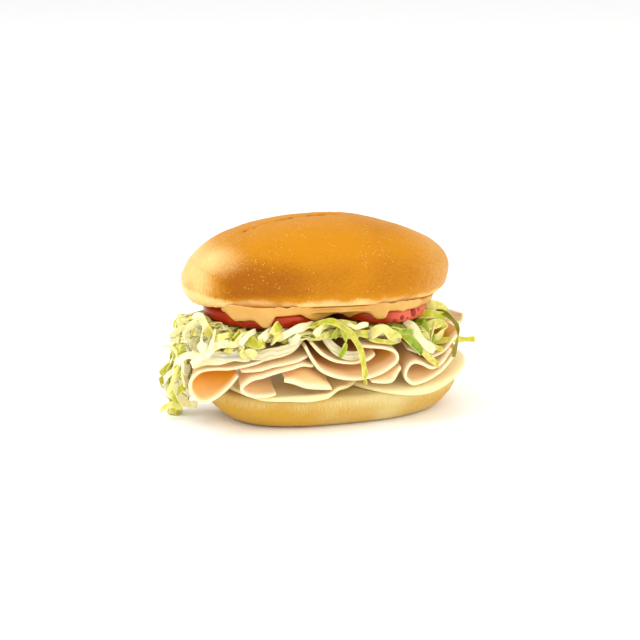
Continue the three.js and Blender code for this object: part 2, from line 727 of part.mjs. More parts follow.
function shredSolid({ path, width, twist, segments }, extra) {
  return asSolid(stripSolid(path, width + extra, LETTUCE.shredThickness + extra, segments, ...twist));
}

// The shreds are joined to the core; one that would cross another piece is skipped.
function lettuceGeometry(neighbours) {
  let heap = asSolid(heapCore()).add(asSolid(spillCore()));
  for (const strip of ONION_STRIPS) heap = heap.subtract(asSolid(onionGeometry(strip, 2 * GAP)));
  for (const shred of [...STRANDS, ...scatterShreds()]) {
    const room = shredSolid(shred, LETTUCE.slack);
    const low = room.boundingBox().min[2];
    const blocked = low < LETTUCE.ground || neighbours.some((solid) => solid.intersect(room).volume() > 0);
    if (!blocked) heap = heap.add(shredSolid(shred, 0));
  }
  return asGeometry(mainBody(heap));
}

// ---------------------------------------------------------------- the stack

const COLOURS = {
  crust: 0xe0a03c, heel: 0xe6bd74, cheese: 0xf3e7b4, turkey: 0xf3d9b4, onion: 0xe9dfbd,
  lettuce: 0xc9d65a, tomato: 0xb5300f, sauce: 0xf2cf8c,
};

function food(name, colour, geometry) {
  const material = new THREE.MeshStandardMaterial({ color: colour, roughness: 0.55, metalness: 0 });
  const mesh = new THREE.Mesh(geometry, material);
  mesh.name = name;
  return mesh;
}

const layers = [
  food("bun_bottom", COLOURS.heel, heelGeometry()),
  food("cheese_left", COLOURS.cheese, cheeseGeometry(CHEESE.leftX, CHEESE.radiusLeft, cheeseLift)),
  food("cheese_right", COLOURS.cheese, cheeseGeometry(CHEESE.rightX, CHEESE.radiusRight, () => 0)),
];
for (const slice of FOLDED_SLICES) layers.push(food(slice.name, COLOURS.turkey, foldedSliceGeometry(slice)));
for (const slice of DRAPED_SLICES) layers.push(food(slice.name, COLOURS.turkey, drapedSliceGeometry(slice)));
layers.push(food("turkey_10", COLOURS.turkey, cornerSliceGeometry()));
for (const strip of ONION_STRIPS) layers.push(food(strip.name, COLOURS.onion, onionGeometry(strip)));
for (const slice of TOMATO_SLICES) {
  layers.push(food(slice.name, COLOURS.tomato, tomatoGeometry(slice)));
}
layers.push(food("sauce", COLOURS.sauce, sauceGeometry()));
layers.push(food("bun_top", COLOURS.crust, crownGeometry()));

const lettuceNeighbours = layers.map((layer) => asSolid(layer.geometry));
layers.push(food("lettuce", COLOURS.lettuce, lettuceGeometry(lettuceNeighbours)));

const sub = new THREE.Group();
for (const layer of layers) {
  settle(layer.geometry);
  sub.add(layer);
}

// The frame's origin is the middle of the underside of the whole sub.
const bounds = new THREE.Box3().setFromObject(sub);
const middle = bounds.getCenter(new THREE.Vector3());
for (const layer of layers) layer.geometry.translate(-middle.x, -middle.y, -bounds.min.z);

export default sub;
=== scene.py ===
import math
import random

import bmesh
import bpy
from mathutils import Matrix, Vector, noise
from mathutils.bvhtree import BVHTree


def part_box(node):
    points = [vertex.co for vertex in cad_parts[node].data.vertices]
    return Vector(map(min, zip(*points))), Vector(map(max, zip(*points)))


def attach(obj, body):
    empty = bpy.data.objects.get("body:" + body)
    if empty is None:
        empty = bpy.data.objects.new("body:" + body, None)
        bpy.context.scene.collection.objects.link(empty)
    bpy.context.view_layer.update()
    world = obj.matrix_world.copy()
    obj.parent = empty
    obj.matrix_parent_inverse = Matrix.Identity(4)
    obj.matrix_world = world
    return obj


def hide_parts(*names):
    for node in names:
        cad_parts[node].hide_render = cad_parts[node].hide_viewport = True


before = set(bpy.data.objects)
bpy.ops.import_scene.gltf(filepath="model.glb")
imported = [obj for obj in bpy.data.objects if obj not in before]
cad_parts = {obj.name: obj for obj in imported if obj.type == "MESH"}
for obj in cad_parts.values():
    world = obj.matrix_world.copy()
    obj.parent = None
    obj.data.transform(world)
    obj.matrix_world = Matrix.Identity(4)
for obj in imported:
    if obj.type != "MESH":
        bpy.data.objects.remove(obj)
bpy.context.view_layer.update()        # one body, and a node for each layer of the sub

MM = 0.001

# ------------------------------------------------------------------ the stack's sizes, in mm

HEEL = dict(length=142, width=76, height=20, squareness=2.5, end_slope=1.9)
HEEL_SECTION = [(38, 0), (20, 0), (9.5, 0), (6, 1.6), (3, 5.5), (1, 10.5), (0, 16), (0.2, 18.8),
                (1.4, 20), (6, 20), (20, 20), (38, 20)]

CROWN = dict(length=147, width=77, centre_x=-8.5, underside=69, shoulder=10.5, dome=32,
             squareness=2.35, dome_curve=2.08, peak_shift=6, end_slope=2.1, far_end_drop=0.13,
             right_shoulder_up=0.3, left_end_from=-52, left_end_to=-84, left_end_droop=4.2,
             left_end_out=2, lip_inset=3, lip_rise=0.2)
CRACK = [(-60, -9), (-50, -4), (-36, -1), (-16, 1), (6, 2)]      # the crown's split, seen from above

CHEESE = dict(thickness=2.4, low=20.6, climb=3.0, y=-3, left_rim_lift=2.7)
CHEESE_SLICES = [dict(node="cheese_left", x=-25, radius=40, climbs=True),
                 dict(node="cheese_right", x=36, radius=39.5, climbs=False)]

TOMATO = dict(thickness=7, underside=58)
TOMATO_SLICES = [dict(node="tomato_left", x=-40, y=-3, radius=33.5),
                 dict(node="tomato_right", x=22.5, y=-6, radius=28.5)]

TURKEY_THICKNESS = 1.8
FILLING = dict(centre_x=-8, half_length=92, half_width=41)

# Each folded slice is a cross-section [x, z] seen from the front, from one cut edge round the
# fold to the other; front and back are how far it stops short of the filling's edge.  Towards the
# back it draws in by retract, and closes by the share closes towards the height close_to.
# With each folded slice can go the strength of the painted shade and bounce light inside its fold, 1 if none
# is given.
FOLDED_SLICES = [
    dict(node="turkey_1", front=1.5, back=36, nose=-1, hinge=-64, retract=0.5, closes=0.85, close_to=41,
         profile=[(-62, 35.6), (-69, 29), (-75, 24), (-81, 21.4), (-86, 24.5), (-87.2, 32), (-83, 38),
                  (-75, 40.4), (-66, 41), (-59, 42.2), (-48, 44.6), (-34, 46)]),
    dict(node="turkey_2", front=0.5, back=6, nose=-1, hinge=-40, retract=0.3,
         profile=[(-61, 38.4), (-52, 40.4), (-40, 42.7), (-30, 43.8), (-24.5, 43.9)]),
    dict(node="turkey_3", front=0, back=2, nose=-1, hinge=-40, retract=0.55, fold_shade_strength=0.6,
         closes=0.7, close_to=37,
         profile=[(-21.5, 38.8), (-29, 40.9), (-38, 39.9), (-50, 37.2), (-58, 34.8), (-61.5, 31),
                  (-59, 27.4), (-52, 25.6), (-42, 25.2)]),
    dict(node="turkey_5", front=-1.5, back=2, nose=1, hinge=8, retract=0.35, fold_shade_strength=0.9,
         closes=0.3, close_to=47,
         profile=[(-26.6, 50), (-23.4, 44.6), (-18.6, 38.6), (-9.6, 34.6), (0, 33), (10, 33.8), (19, 37.6),
                  (24.2, 42), (24, 46.2), (18, 48.8), (4, 49.2)]),
    dict(node="turkey_6", front=0, back=8, nose=1, hinge=8, retract=0.35,
         profile=[(-23.4, 51.6), (-19.4, 47.8), (-13.6, 44.2), (-6, 41.8), (1, 41.4), (7, 42.2),
                  (13, 44.6)]),
    dict(node="turkey_8", front=-0.5, back=2, nose=-1, hinge=40, retract=0.4, fold_shade_strength=0.6,
         closes=0.7, close_to=37.5,
         profile=[(63, 35), (56, 30.4), (47.5, 27.6), (40.5, 26.2), (33.5, 26.4), (29.5, 31),
                  (31, 37), (35, 39.4), (39.5, 37.2), (46, 32.6), (52, 33), (59, 37)]),
    dict(node="turkey_9", front=4, back=6, nose=1, hinge=60, retract=0.2,
         profile=[(33, 43.6), (40, 41), (47, 36.8), (54, 37), (60, 40.6), (67, 42.6)]),
]

# Each draped slice hangs down at the front: low is its hem and top the line where it comes out.
DRAPED_SLICES = [
    dict(node="turkey_4", top=[(-38, 35.4), (-30, 36.4), (-23, 35.4), (-14, 30.8)],
         low=[(-39, 33.6), (-34, 32), (-27, 29), (-18, 27.6), (-12, 27.2)]),
    dict(node="turkey_7", top=[(10, 30.4), (16, 32), (22, 35.2), (27.4, 37.8)],
         low=[(10.5, 29.6), (16, 28.4), (22, 28.6), (27, 36.4)]),
]
# The slice whose corner sticks up runs straight back by depth, and comes down by far_drop.
CORNER_SLICE = dict(node="turkey_10", front_y=-6, depth=34, far_drop=10,
                    profile=[(40, 45.4), (50, 42.8), (60, 43), (68, 42.6), (73, 42), (74.8, 44.5),
                             (74.8, 50)])

ONION_STRIPS = [
    dict(node="onion_1", path=[(-68, -30, 47), (-56, -36.5, 47.4), (-44, -39.5, 48.8),
                               (-34, -39.5, 50.8), (-28, -35, 53.4)]),
    dict(node="onion_2", path=[(-15.5, -36, 53.4), (-11, -39.5, 49), (-5, -40.5, 46),
                               (0, -40, 45.1), (3.5, -38, 45)]),
]
ONION = dict(width=4.2, thickness=1.8, twist=(1.0, 1.3), layers=2.5)

# The dressing: a layer under the crown, and an edge that hangs over the tomato in drips.  Each
# stop of the edge is its place in plan, x and y, and how far it hangs below the tomato's top.
SAUCE = dict(half_length=61, half_width=35, squareness=2.5, shift_x=-6.5, gap=0.35, wall=2.6, tuck=4.5)
FRONT_EDGE = [(-68, -22, -1), (-65, -25.5, 1), (-62.3, -28.4, 3.2), (-58, -31.6, 3), (-53.4, -34, 2),
              (-51.6, -34.8, 3.6), (-49.3, -35.5, 5.7), (-46.4, -36.2, 6), (-44.6, -36.5, 4.2),
              (-43.2, -36.6, 0.8), (-41, -36.7, -0.8), (-31.3, -35.7, -0.9), (-26.8, -34.1, 0.9),
              (-23.8, -32.6, 3), (-19.4, -30.5, 4.9), (-15.5, -29, 4.6), (-11, -27.6, 3), (-6, -26, 2.4),
              (-2, -25.4, 3.4), (1.6, -26.6, 4.8), (3.6, -28, 3.6), (7.5, -30.6, 1.4), (11.3, -32.5, 1.5),
              (13.8, -33.4, 3.6), (16.5, -34.2, 4.2), (19.6, -34.7, 3.2), (20.9, -34.8, -0.4),
              (24.5, -34.8, -0.8), (29, -34.1, 0.6), (32.7, -32.9, -0.2), (37.3, -30.7, 0.2),
              (42, -27.2, -1)]
BACK_DRIPS = dict(stops=26, deepest=4.5, seed=4)

LETTUCE = dict(top=57.5, half_length=74, half_width=33.5, centre_x=-7, squareness=2.4, leaf=0.42,
               rib=1.1, ruffle_length=9, floor_gap=0.9, spill_core=0.36, greener_right=0.002, tries=6,
               seed=19)
HEAP_UNDERSIDE = [(-84, 50), (-60, 47.4), (-36, 49.6), (-26, 51.8), (-18, 52.8), (0, 51), (20, 51),
                  (30, 48.6), (42, 47.4), (60, 46.4), (68, 49), (76, 52.5)]
# The spill at the left end: centre x, y, z, half depth along Y, half thickness.
SPILL = [(-70, 0, 55, 0, 0), (-73, 0, 53.5, 19, 4), (-81, 3, 48, 18, 4.5), (-84, 9, 37, 14, 4.5),
         (-83.5, 10, 24, 14, 5.5), (-86, 12, 9, 15, 8.5), (-88, 13, 0.6, 13, 11), (-88, 13, 0.4, 0, 0)]

# How the stack settles: its edges bow down, its top leans to the right, the soft layers ripple.
SETTLE = dict(bow=2.6, bow_half_width=38, bow_start=13, bow_full_to=44, bow_end=60,
              end_rise=5, end_rise_from=36, end_rise_to=78,
              lean=0.038, lean_centre=-10, lean_start=28, lean_full=60,
              ripple=0.7, ripple_along=17, ripple_across=11, ripple_start=24, ripple_end=56, ripple_fade=8)

heel_low, heel_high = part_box("bun_bottom")
ORIGIN = Vector(((heel_low.x + heel_high.x) / 2, (heel_low.y + heel_high.y) / 2, 0))


# ------------------------------------------------------------------ small helpers

def smoothstep(low, high, value):
    """From 0 at low to 1 at high, with soft ends."""
    t = min(1, max(0, (value - low) / (high - low)))
    return t * t * (3 - 2 * t)


def settled(point):
    """Where a point of the level stack, in mm, ends up in the settled sub, in mm."""
    x, y, z = point
    s = SETTLE
    bowed = min(1, max(0, z / s["bow_start"])) * (1 - smoothstep(s["bow_full_to"], s["bow_end"], z))
    leaned = smoothstep(s["lean_start"], s["lean_full"], z)
    ripple_in = smoothstep(s["ripple_start"], s["ripple_start"] + s["ripple_fade"], z)
    ripple_out = 1 - smoothstep(s["ripple_end"] - s["ripple_fade"], s["ripple_end"], z)
    bow = s["bow"] * (abs(y) / s["bow_half_width"]) ** 4 * bowed
    rise = s["end_rise"] * smoothstep(s["end_rise_from"], s["end_rise_to"], x) * bowed
    lean = s["lean"] * (x - s["lean_centre"]) * leaned
    ripple = s["ripple"] * math.sin(x / s["ripple_along"] + y / s["ripple_across"]) * ripple_in * ripple_out
    return Vector((x, y, z - bow + rise - lean + ripple))


def in_frame(point):
    """A settled point in mm as a point of the frame in metres."""
    return ORIGIN + Vector(point) * MM


def from_frame(point):
    """A point of the frame in metres as mm from the middle of the heel's underside."""
    return (point - ORIGIN) / MM


def oval(angle, half_length, half_width, squareness):
    """A point at an angle on an oval; squareness 2 is an ellipse, and more is squarer."""
    power = 2 / squareness
    c, s = math.cos(angle), math.sin(angle)
    return (half_length * math.copysign(abs(c) ** power, c),
            half_width * math.copysign(abs(s) ** power, s))


def smooth_path(points, count):
    """count + 1 points, evenly spaced along a smooth curve through the given ones."""
    pts = [Vector(p) for p in points]
    pts = [2 * pts[0] - pts[1], *pts, 2 * pts[-1] - pts[-2]]
    fine = []
    steps = 24
    for a, b, c, d in zip(pts, pts[1:], pts[2:], pts[3:]):
        t1 = (b - a).length ** 0.5
        t2 = t1 + (c - b).length ** 0.5
        t3 = t2 + (d - c).length ** 0.5
        for i in range(steps):
            t = t1 + (t2 - t1) * i / steps
            ab = a.lerp(b, t / t1)
            bc = b.lerp(c, (t - t1) / (t2 - t1))
            cd = c.lerp(d, (t - t2) / (t3 - t2))
            abc = ab.lerp(bc, t / t2)
            bcd = bc.lerp(cd, (t - t1) / (t3 - t1))
            fine.append(abc.lerp(bcd, (t - t1) / (t2 - t1)))
    fine.append(pts[-2])
    run = [0.0]
    for p, q in zip(fine, fine[1:]):
        run.append(run[-1] + (q - p).length)
    even = []
    k = 0
    for i in range(count + 1):
        goal = run[-1] * i / count
        while k < len(run) - 2 and run[k + 1] < goal:
            k += 1
        span = run[k + 1] - run[k]
        even.append(fine[k].lerp(fine[k + 1], min(1, (goal - run[k]) / span)))
    return even


def smooth_outline(points, count):
    """The same for points of a cross-section, which have two numbers each."""
    return smooth_path([(*point, 0) for point in points], count)


def between_points(points, x):
    """The height at x on the straight lines through points (x, height)."""
    if x <= points[0][0]:
        return points[0][1]
    for (x0, z0), (x1, z1) in zip(points, points[1:]):
        if x <= x1:
            return z0 + (z1 - z0) * (x - x0) / (x1 - x0)
    return points[-1][1]


def filling_reach(x):
    """How far forward the filling comes at x: its plan is a long rounded oval."""
    along = min(0.97, abs(x - FILLING["centre_x"]) / FILLING["half_length"])
    return FILLING["half_width"] * (1 - along ** 3) ** (1 / 3)


def fractal(point, size, octaves=3):
    """Smooth noise from about -1 to 1 whose bumps are size mm across."""
    return noise.fractal(Vector(point) / size, 1.0, 2.0, octaves)


def float_layers(bm, *names):
    """New number layers on the vertices, which materials read as attributes."""
    return [bm.verts.layers.float.new(name) for name in names]


def place_piece(bm, name, materials, nodes, modifiers=()):
    """Turns a bmesh in frame metres into a finished piece that rides on the sub."""
    mesh = bpy.data.meshes.new(name)
    bm.to_mesh(mesh)
    bm.free()
    mesh.shade_smooth()
    for material in materials:
        mesh.materials.append(material)
    piece = bpy.data.objects.new(name, mesh)
    bpy.context.scene.collection.objects.link(piece)
    for kind, settings in modifiers:
        modifier = piece.modifiers.new(kind.title(), kind)
        for key, value in settings.items():
            setattr(modifier, key, value)
    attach(piece, "root")
    if nodes:
        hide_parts(*nodes)


def round_bmesh(sides, rings, place):
    """A closed body of rings from its lower pole to its upper pole, each point put by place."""
    bm = bmesh.new()
    bmesh.ops.create_uvsphere(bm, u_segments=sides, v_segments=rings, radius=1)
    for vert in bm.verts:
        angle = math.atan2(vert.co.y, vert.co.x)
        ring = round(rings * (1 - math.acos(min(1, max(-1, vert.co.z))) / math.pi))
        vert.co = place(ring, angle)
    return bm


def sheet_grid(bm, columns, rows, place):
    """A grid in bm whose points are put by place(column, u, v); returns its vertices."""
    made = bmesh.ops.create_grid(bm, x_segments=columns, y_segments=rows, size=0.5)["verts"]
    for vert in made:
        u, v = vert.co.x + 0.5, vert.co.y + 0.5
        vert.co = place(round(u * columns), u, v)
    return made


# ------------------------------------------------------------------ materials

def colour(hex_value):
    """An sRGB hex value as linear red, green, blue and alpha."""
    channels = [int(hex_value[i:i + 2], 16) / 255 for i in (1, 3, 5)]
    linear = [c / 12.92 if c <= 0.04045 else ((c + 0.055) / 1.055) ** 2.4 for c in channels]
    return (*linear, 1)


def add(tree, kind, inputs, **settings):
    """Adds a node with its settings; an input is a value or the socket that feeds it."""
    node = tree.nodes.new("ShaderNode" + kind)
    for key, value in settings.items():
        setattr(node, key, value)
    for key, value in inputs.items():
        if isinstance(value, bpy.types.NodeSocket):
            tree.links.new(value, node.inputs[key])
        else:
            node.inputs[key].default_value = value
    return node


def new_material(name):
    """A material with an empty tree, and the Object coordinates in millimetres."""
    material = bpy.data.materials.new(name)
    material.use_nodes = True
    tree = material.node_tree
    tree.nodes.clear()
    here = add(tree, "TexCoord", {}).outputs["Object"]
    in_mm = add(tree, "Mapping", {"Vector": here, "Scale": (1 / MM, 1 / MM, 1 / MM)}).outputs["Vector"]
    return material, tree, in_mm


def close_material(tree, shader):
    """Ends a material's tree with its shader."""
    add(tree, "OutputMaterial", {"Surface": shader.outputs["BSDF"]})


def tinted(tree, base, layers):
    """base with each (factor, hex colour) laid over it in turn."""
    for factor, hex_value in layers:
        mixed = add(tree, "Mix", {0: factor, 6: base, 7: colour(hex_value)}, data_type="RGBA")
        base = mixed.outputs[2]
    return base


def ranged(tree, value, low, high, to_low=0.0, to_high=1.0):
    """value between low and high, spread smoothly over to_low to to_high."""
    limits = {"Value": value, "From Min": low, "From Max": high, "To Min": to_low, "To Max": to_high}
    return add(tree, "MapRange", limits, interpolation_type="SMOOTHSTEP").outputs["Result"]


def baked_crust(name, pale, gold, brown):
    """Baked milk-bread crust: a thin dry skin, golden to brown where the oven reached it, the brown on the
    crown's lower dome being painted shade as well as baking, and pale cream where the halves were torn apart
    and at the crown's less baked left end, paler still where a painted highlight lies on its upper left
    shoulder and painted light on its right end.  Fine stretch lines and tiny light blisters mixed with
    painted glints are both drawn a little coarser than real ones so that they show.  A soft, broad sheen and
    no sharp reflection."""
    material, tree, place = new_material(name)
    darkening = add(tree, "Attribute", {}, attribute_name="darkening").outputs["Fac"]
    paleness = add(tree, "Attribute", {}, attribute_name="paleness").outputs["Fac"]
    torn = add(tree, "Attribute", {}, attribute_name="torn").outputs["Fac"]
    streak_place = add(tree, "Mapping", {"Vector": place, "Scale": (1 / 0.5, 1 / 0.5, 1 / 6)}).outputs[0]
    streaks = add(tree, "TexNoise", {"Vector": streak_place, "Scale": 1.0, "Detail": 2.0}).outputs["Fac"]
    mottle = add(tree, "TexNoise", {"Vector": place, "Scale": 1 / 1.1, "Detail": 3.0}).outputs["Fac"]
    ragged = add(tree, "Math", {0: ranged(tree, streaks, 0.3, 0.7, -0.1, 0.1), 1: paleness},
                 operation="ADD").outputs[0]
    paled = ranged(tree, ragged, 0.1, 1.05)
    mottled = add(tree, "Math", {0: ranged(tree, mottle, 0.3, 0.7, -0.1, 0.1), 1: darkening},
                  operation="ADD").outputs[0]
    cells = add(tree, "TexVoronoi", {"Vector": place, "Scale": 1 / 1.7}).outputs["Distance"]
    patches = add(tree, "TexNoise", {"Vector": place, "Scale": 1 / 12, "Detail": 1.0}).outputs["Fac"]
    # Pale blisters of the crust mixed with painted glints, in sparse patches.
    blisters_and_glints = add(tree, "Math", {0: ranged(tree, cells, 0.2, 0.08),
                                  1: ranged(tree, patches, 0.45, 0.62, 0, 0.65)},
                   operation="MULTIPLY").outputs[0]
    # The brown also stands for painted shade, the blisters for painted glints, and the pale colour for a
    # painted highlight and painted light as well as pale crust.
    base = tinted(tree, colour(gold), [
        (ranged(tree, mottled, 0.0, 1.0), brown), (blisters_and_glints, "#F2CE8C"), (paled, pale),
        (ranged(tree, torn, 0.35, 0.8, 0.0, 0.85), "#8E4A08")])
    fine = add(tree, "TexNoise", {"Vector": place, "Scale": 1 / 0.6, "Detail": 3.0}).outputs["Fac"]
    relief = add(tree, "Math", {0: streaks, 1: 0.5, 2: fine}, operation="MULTIPLY_ADD").outputs[0]
    bump = add(tree, "Bump", {"Height": relief, "Strength": 0.55, "Distance": 0.3 * MM}).outputs[0]
    shader = add(tree, "BsdfPrincipled", {
        "Base Color": base, "Roughness": 0.42, "IOR": 1.45, "Specular IOR Level": 0.13, "Normal": bump,
        "Subsurface Weight": 0.06, "Subsurface Scale": 0.003, "Subsurface Radius": (1.0, 0.5, 0.15)})
    close_material(tree, shader)
    return material


def mild_cheese():
    """Young cow's-milk cheese, cut by wire: smooth, waxy and slightly see-through at thin rims."""
    material, tree, place = new_material("mild_cheese")
    clouds = add(tree, "TexNoise", {"Vector": place, "Scale": 1 / 14, "Detail": 2.0}).outputs["Fac"]
    base = tinted(tree, colour("#F0E2AE"), [(ranged(tree, clouds, 0.4, 0.7, 0.0, 0.5), "#EAD692")])
    grain = add(tree, "TexNoise", {"Vector": place, "Scale": 1 / 1.5, "Detail": 2.0}).outputs["Fac"]
    bump = add(tree, "Bump", {"Height": grain, "Strength": 0.15, "Distance": 0.15 * MM}).outputs[0]
    shader = add(tree, "BsdfPrincipled", {
        "Base Color": base, "Roughness": 0.42, "IOR": 1.45, "Normal": bump,
        "Subsurface Weight": 0.5, "Subsurface Scale": 0.0025, "Subsurface Radius": (1.0, 0.8, 0.35)})
    close_material(tree, shader)
    return material


def roast_turkey(name, meat, in_fold):
    """Sliced turkey breast: moist pressed meat, peach cream with a faint grain and nearly white at the cut
    rim, with a soft wet sheen.  Inside a fold it is painted, first a lighter cream and then more golden the
    further in it lies: painted light, shade and warm bounce light, for the light that goes through and round
    inside a fold.  The rim's near-white is also painted over the whole face of a slice that lies in shade,
    as painted light."""
    material, tree, place = new_material(name)
    grain_place = add(tree, "Mapping", {"Vector": place, "Scale": (1 / 12, 1 / 3, 1 / 6)}).outputs[0]
    grain = add(tree, "TexNoise", {"Vector": grain_place, "Scale": 1.0, "Detail": 4.0}).outputs["Fac"]
    clouds = add(tree, "TexNoise", {"Vector": place, "Scale": 1 / 15, "Detail": 2.0}).outputs["Fac"]
    rim_and_painted_light = add(tree, "Attribute", {}, attribute_name="rim_and_painted_light").outputs["Fac"]
    fold_shade = add(tree, "Attribute", {}, attribute_name="in_fold").outputs["Fac"]
    layers = [(ranged(tree, clouds, 0.4, 0.66, 0.0, 0.6), "#E4B67A"),
              (ranged(tree, grain, 0.45, 0.75, 0.0, 0.4), "#EED4A2"),
              # Near-white at the cut rim, and all over a slice whose faces are painted pale as painted
              # light.
              (ranged(tree, rim_and_painted_light, 0.0, 1.0, 0.0, 0.7), "#FFEECA")]
    if in_fold:
        # Inside a fold: a painted lighter cream, then a painted golden shade and bounce light deeper in.
        layers.append((ranged(tree, fold_shade, 0.0, 0.5, 0.0, 0.8), "#FFDCA8"))
        layers.append((ranged(tree, fold_shade, 0.45, 1.0, 0.0, 1.0), "#E6A630"))
    base = tinted(tree, colour(meat), layers)
    pores = add(tree, "TexNoise", {"Vector": place, "Scale": 1 / 1.1, "Detail": 3.0}).outputs["Fac"]
    bump = add(tree, "Bump", {"Height": pores, "Strength": 0.25, "Distance": 0.2 * MM}).outputs[0]
    shader = add(tree, "BsdfPrincipled", {
        "Base Color": base, "Roughness": 0.4, "IOR": 1.4, "Specular IOR Level": 0.35, "Normal": bump,
        "Subsurface Weight": 0.5, "Subsurface Scale": 0.002, "Subsurface Radius": (1.0, 0.7, 0.35)})
    close_material(tree, shader)
    return material


def raw_onion():
    """Raw white onion: crisp wet layers, glassy at the edges, with fine lines along the cut."""
    material, tree, place = new_material("raw_onion")
    across = add(tree, "Attribute", {}, attribute_name="across").outputs["Fac"]
    veins = add(tree, "TexNoise", {"Vector": place, "Scale": 1 / 6, "Detail": 1.0}).outputs["Fac"]
    wandering = add(tree, "Math", {0: veins, 1: 8.0, 2: across}, operation="MULTIPLY_ADD").outputs[0]
    lines = add(tree, "Math", {0: wandering}, operation="SINE").outputs[0]
    base = tinted(tree, colour("#EBDFBA"), [(ranged(tree, lines, 0.1, 1.0, 0.0, 0.65), "#CDBC86")])
    shader = add(tree, "BsdfPrincipled", {
        "Base Color": base, "Roughness": 0.22, "IOR": 1.4, "Transmission Weight": 0.15,
        "Subsurface Weight": 0.5, "Subsurface Scale": 0.004, "Subsurface Radius": (1.0, 0.95, 0.75)})
    close_material(tree, shader)
    return material


def ripe_tomato():
    """Ripe tomato: a taut glossy skin, deep red with paler parts, and pinker on the right slice's right
    side, partly pinker wet flesh and partly a painted reflection on the skin, round a wetter flesh.
    """
    material, tree, place = new_material("ripe_tomato")
    face = add(tree, "Attribute", {}, attribute_name="face").outputs["Fac"]
    pink_flesh_and_sheen = add(tree, "Attribute", {}, attribute_name="pink_flesh_and_sheen").outputs["Fac"]
    clouds = add(tree, "TexNoise", {"Vector": place, "Scale": 1 / 9, "Detail": 2.0}).outputs["Fac"]
    seeds = add(tree, "TexVoronoi", {"Vector": place, "Scale": 1 / 4}).outputs["Distance"]
    seeds_on_face = add(tree, "Math", {0: face, 1: ranged(tree, seeds, 0.3, 0.1, 0.0, 0.7)},
                        operation="MULTIPLY").outputs[0]
    base = tinted(tree, colour("#A02202"), [
        (ranged(tree, clouds, 0.45, 0.7, 0.0, 0.6), "#B83C08"),
        # A pinker patch on the right: pinker wet flesh and a painted reflection.
        (ranged(tree, pink_flesh_and_sheen, 0.0, 1.0, 0.0, 0.8), "#D86A50"),
        (face, "#D9502B"),
        (seeds_on_face, "#E9A25A")])
    shader = add(tree, "BsdfPrincipled", {
        "Base Color": base, "Roughness": 0.18, "IOR": 1.45, "Specular IOR Level": 0.3,
        "Subsurface Weight": 0.15, "Subsurface Scale": 0.003, "Subsurface Radius": (1.0, 0.25, 0.1)})
    close_material(tree, shader)
    return material


def creamy_dressing():
    """Whisked egg-and-oil dressing: opaque, thick, pale cream with a wet highlight and a few
    specks of ground spice."""
    material, tree, place = new_material("creamy_dressing")
    clouds = add(tree, "TexNoise", {"Vector": place, "Scale": 1 / 12, "Detail": 2.0}).outputs["Fac"]
    spice = add(tree, "TexVoronoi", {"Vector": place, "Scale": 1 / 5.5}).outputs["Distance"]
    base = tinted(tree, colour("#CC9A48"), [
        (ranged(tree, clouds, 0.4, 0.7, 0.0, 0.5), "#D8AE60"),
        (ranged(tree, spice, 0.06, 0.03, 0.0, 0.7), "#B07A3A")])
    shader = add(tree, "BsdfPrincipled", {
        "Base Color": base, "Roughness": 0.24, "IOR": 1.46,
        "Subsurface Weight": 0.25, "Subsurface Scale": 0.003, "Subsurface Radius": (1.0, 0.75, 0.4)})
    close_material(tree, shader)
    return material


def iceberg_lettuce():
    """Cut iceberg: watery, crisp leaf, near white at the ribs, through pale yellow-green to a stronger green
    at the outer leaf; thin enough for light to come through.  Tones above 1 give the dark olive of the
    heap's core, painted shade for the gaps between the strips."""
    material, tree, place = new_material("iceberg_lettuce")
    tone = add(tree, "Attribute", {}, attribute_name="tone").outputs["Fac"]
    across = add(tree, "Attribute", {}, attribute_name="across").outputs["Fac"]
    veins = add(tree, "TexNoise", {"Vector": place, "Scale": 1 / 3.2, "Detail": 3.0}).outputs["Fac"]
    varied = add(tree, "Math", {0: ranged(tree, veins, 0.3, 0.7, -0.12, 0.12), 1: tone},
                 operation="ADD").outputs[0]
    base = tinted(tree, colour("#F6EFC8"), [
        (ranged(tree, varied, 0.1, 0.36), "#E6DA7C"),
        (ranged(tree, varied, 0.36, 0.66), "#B9B828"),
        (ranged(tree, varied, 0.66, 0.84), "#8CA60C"),
        (ranged(tree, varied, 0.86, 1.0), "#3C7A10"),
        (ranged(tree, across, 0.6, 1.0, 0.0, 0.4), "#EDEB9A"),
        # Only the heap's core goes above 1: dark olive, painted shade.
        (ranged(tree, tone, 1.05, 1.15), "#837C18")])
    bump = add(tree, "Bump", {"Height": veins, "Strength": 0.4, "Distance": 0.4 * MM}).outputs[0]
    shader = add(tree, "BsdfPrincipled", {
        "Base Color": base, "Roughness": 0.3, "IOR": 1.4, "Normal": bump, "Transmission Weight": 0.08,
        "Subsurface Weight": 0.6, "Subsurface Scale": 0.0015, "Subsurface Radius": (1.0, 1.0, 0.35)})
    close_material(tree, shader)
    return material


def clear_water():
    """Water beads: clear, with the red of the tomato behind them painted into their own colour so that they
    read darker, and with one small highlight each.
    """
    material, tree, _ = new_material("clear_water")
    shader = add(tree, "BsdfPrincipled", {
        "Base Color": colour("#B83420"), "Roughness": 0.04, "IOR": 1.33, "Transmission Weight": 0.5})
    close_material(tree, shader)
    return material


def matt_paper():
    """Seamless studio paper: white, with no sheen."""
    material, tree, place = new_material("matt_paper")
    tooth = add(tree, "TexNoise", {"Vector": place, "Scale": 1 / 40, "Detail": 2.0}).outputs["Fac"]
    base = tinted(tree, colour("#FFFFFF"), [(ranged(tree, tooth, 0.4, 0.7, 0.0, 0.4), "#FDFDFD")])
    shader = add(tree, "BsdfPrincipled", {"Base Color": base, "Roughness": 0.9, "IOR": 1.4})
    close_material(tree, shader)
    return material


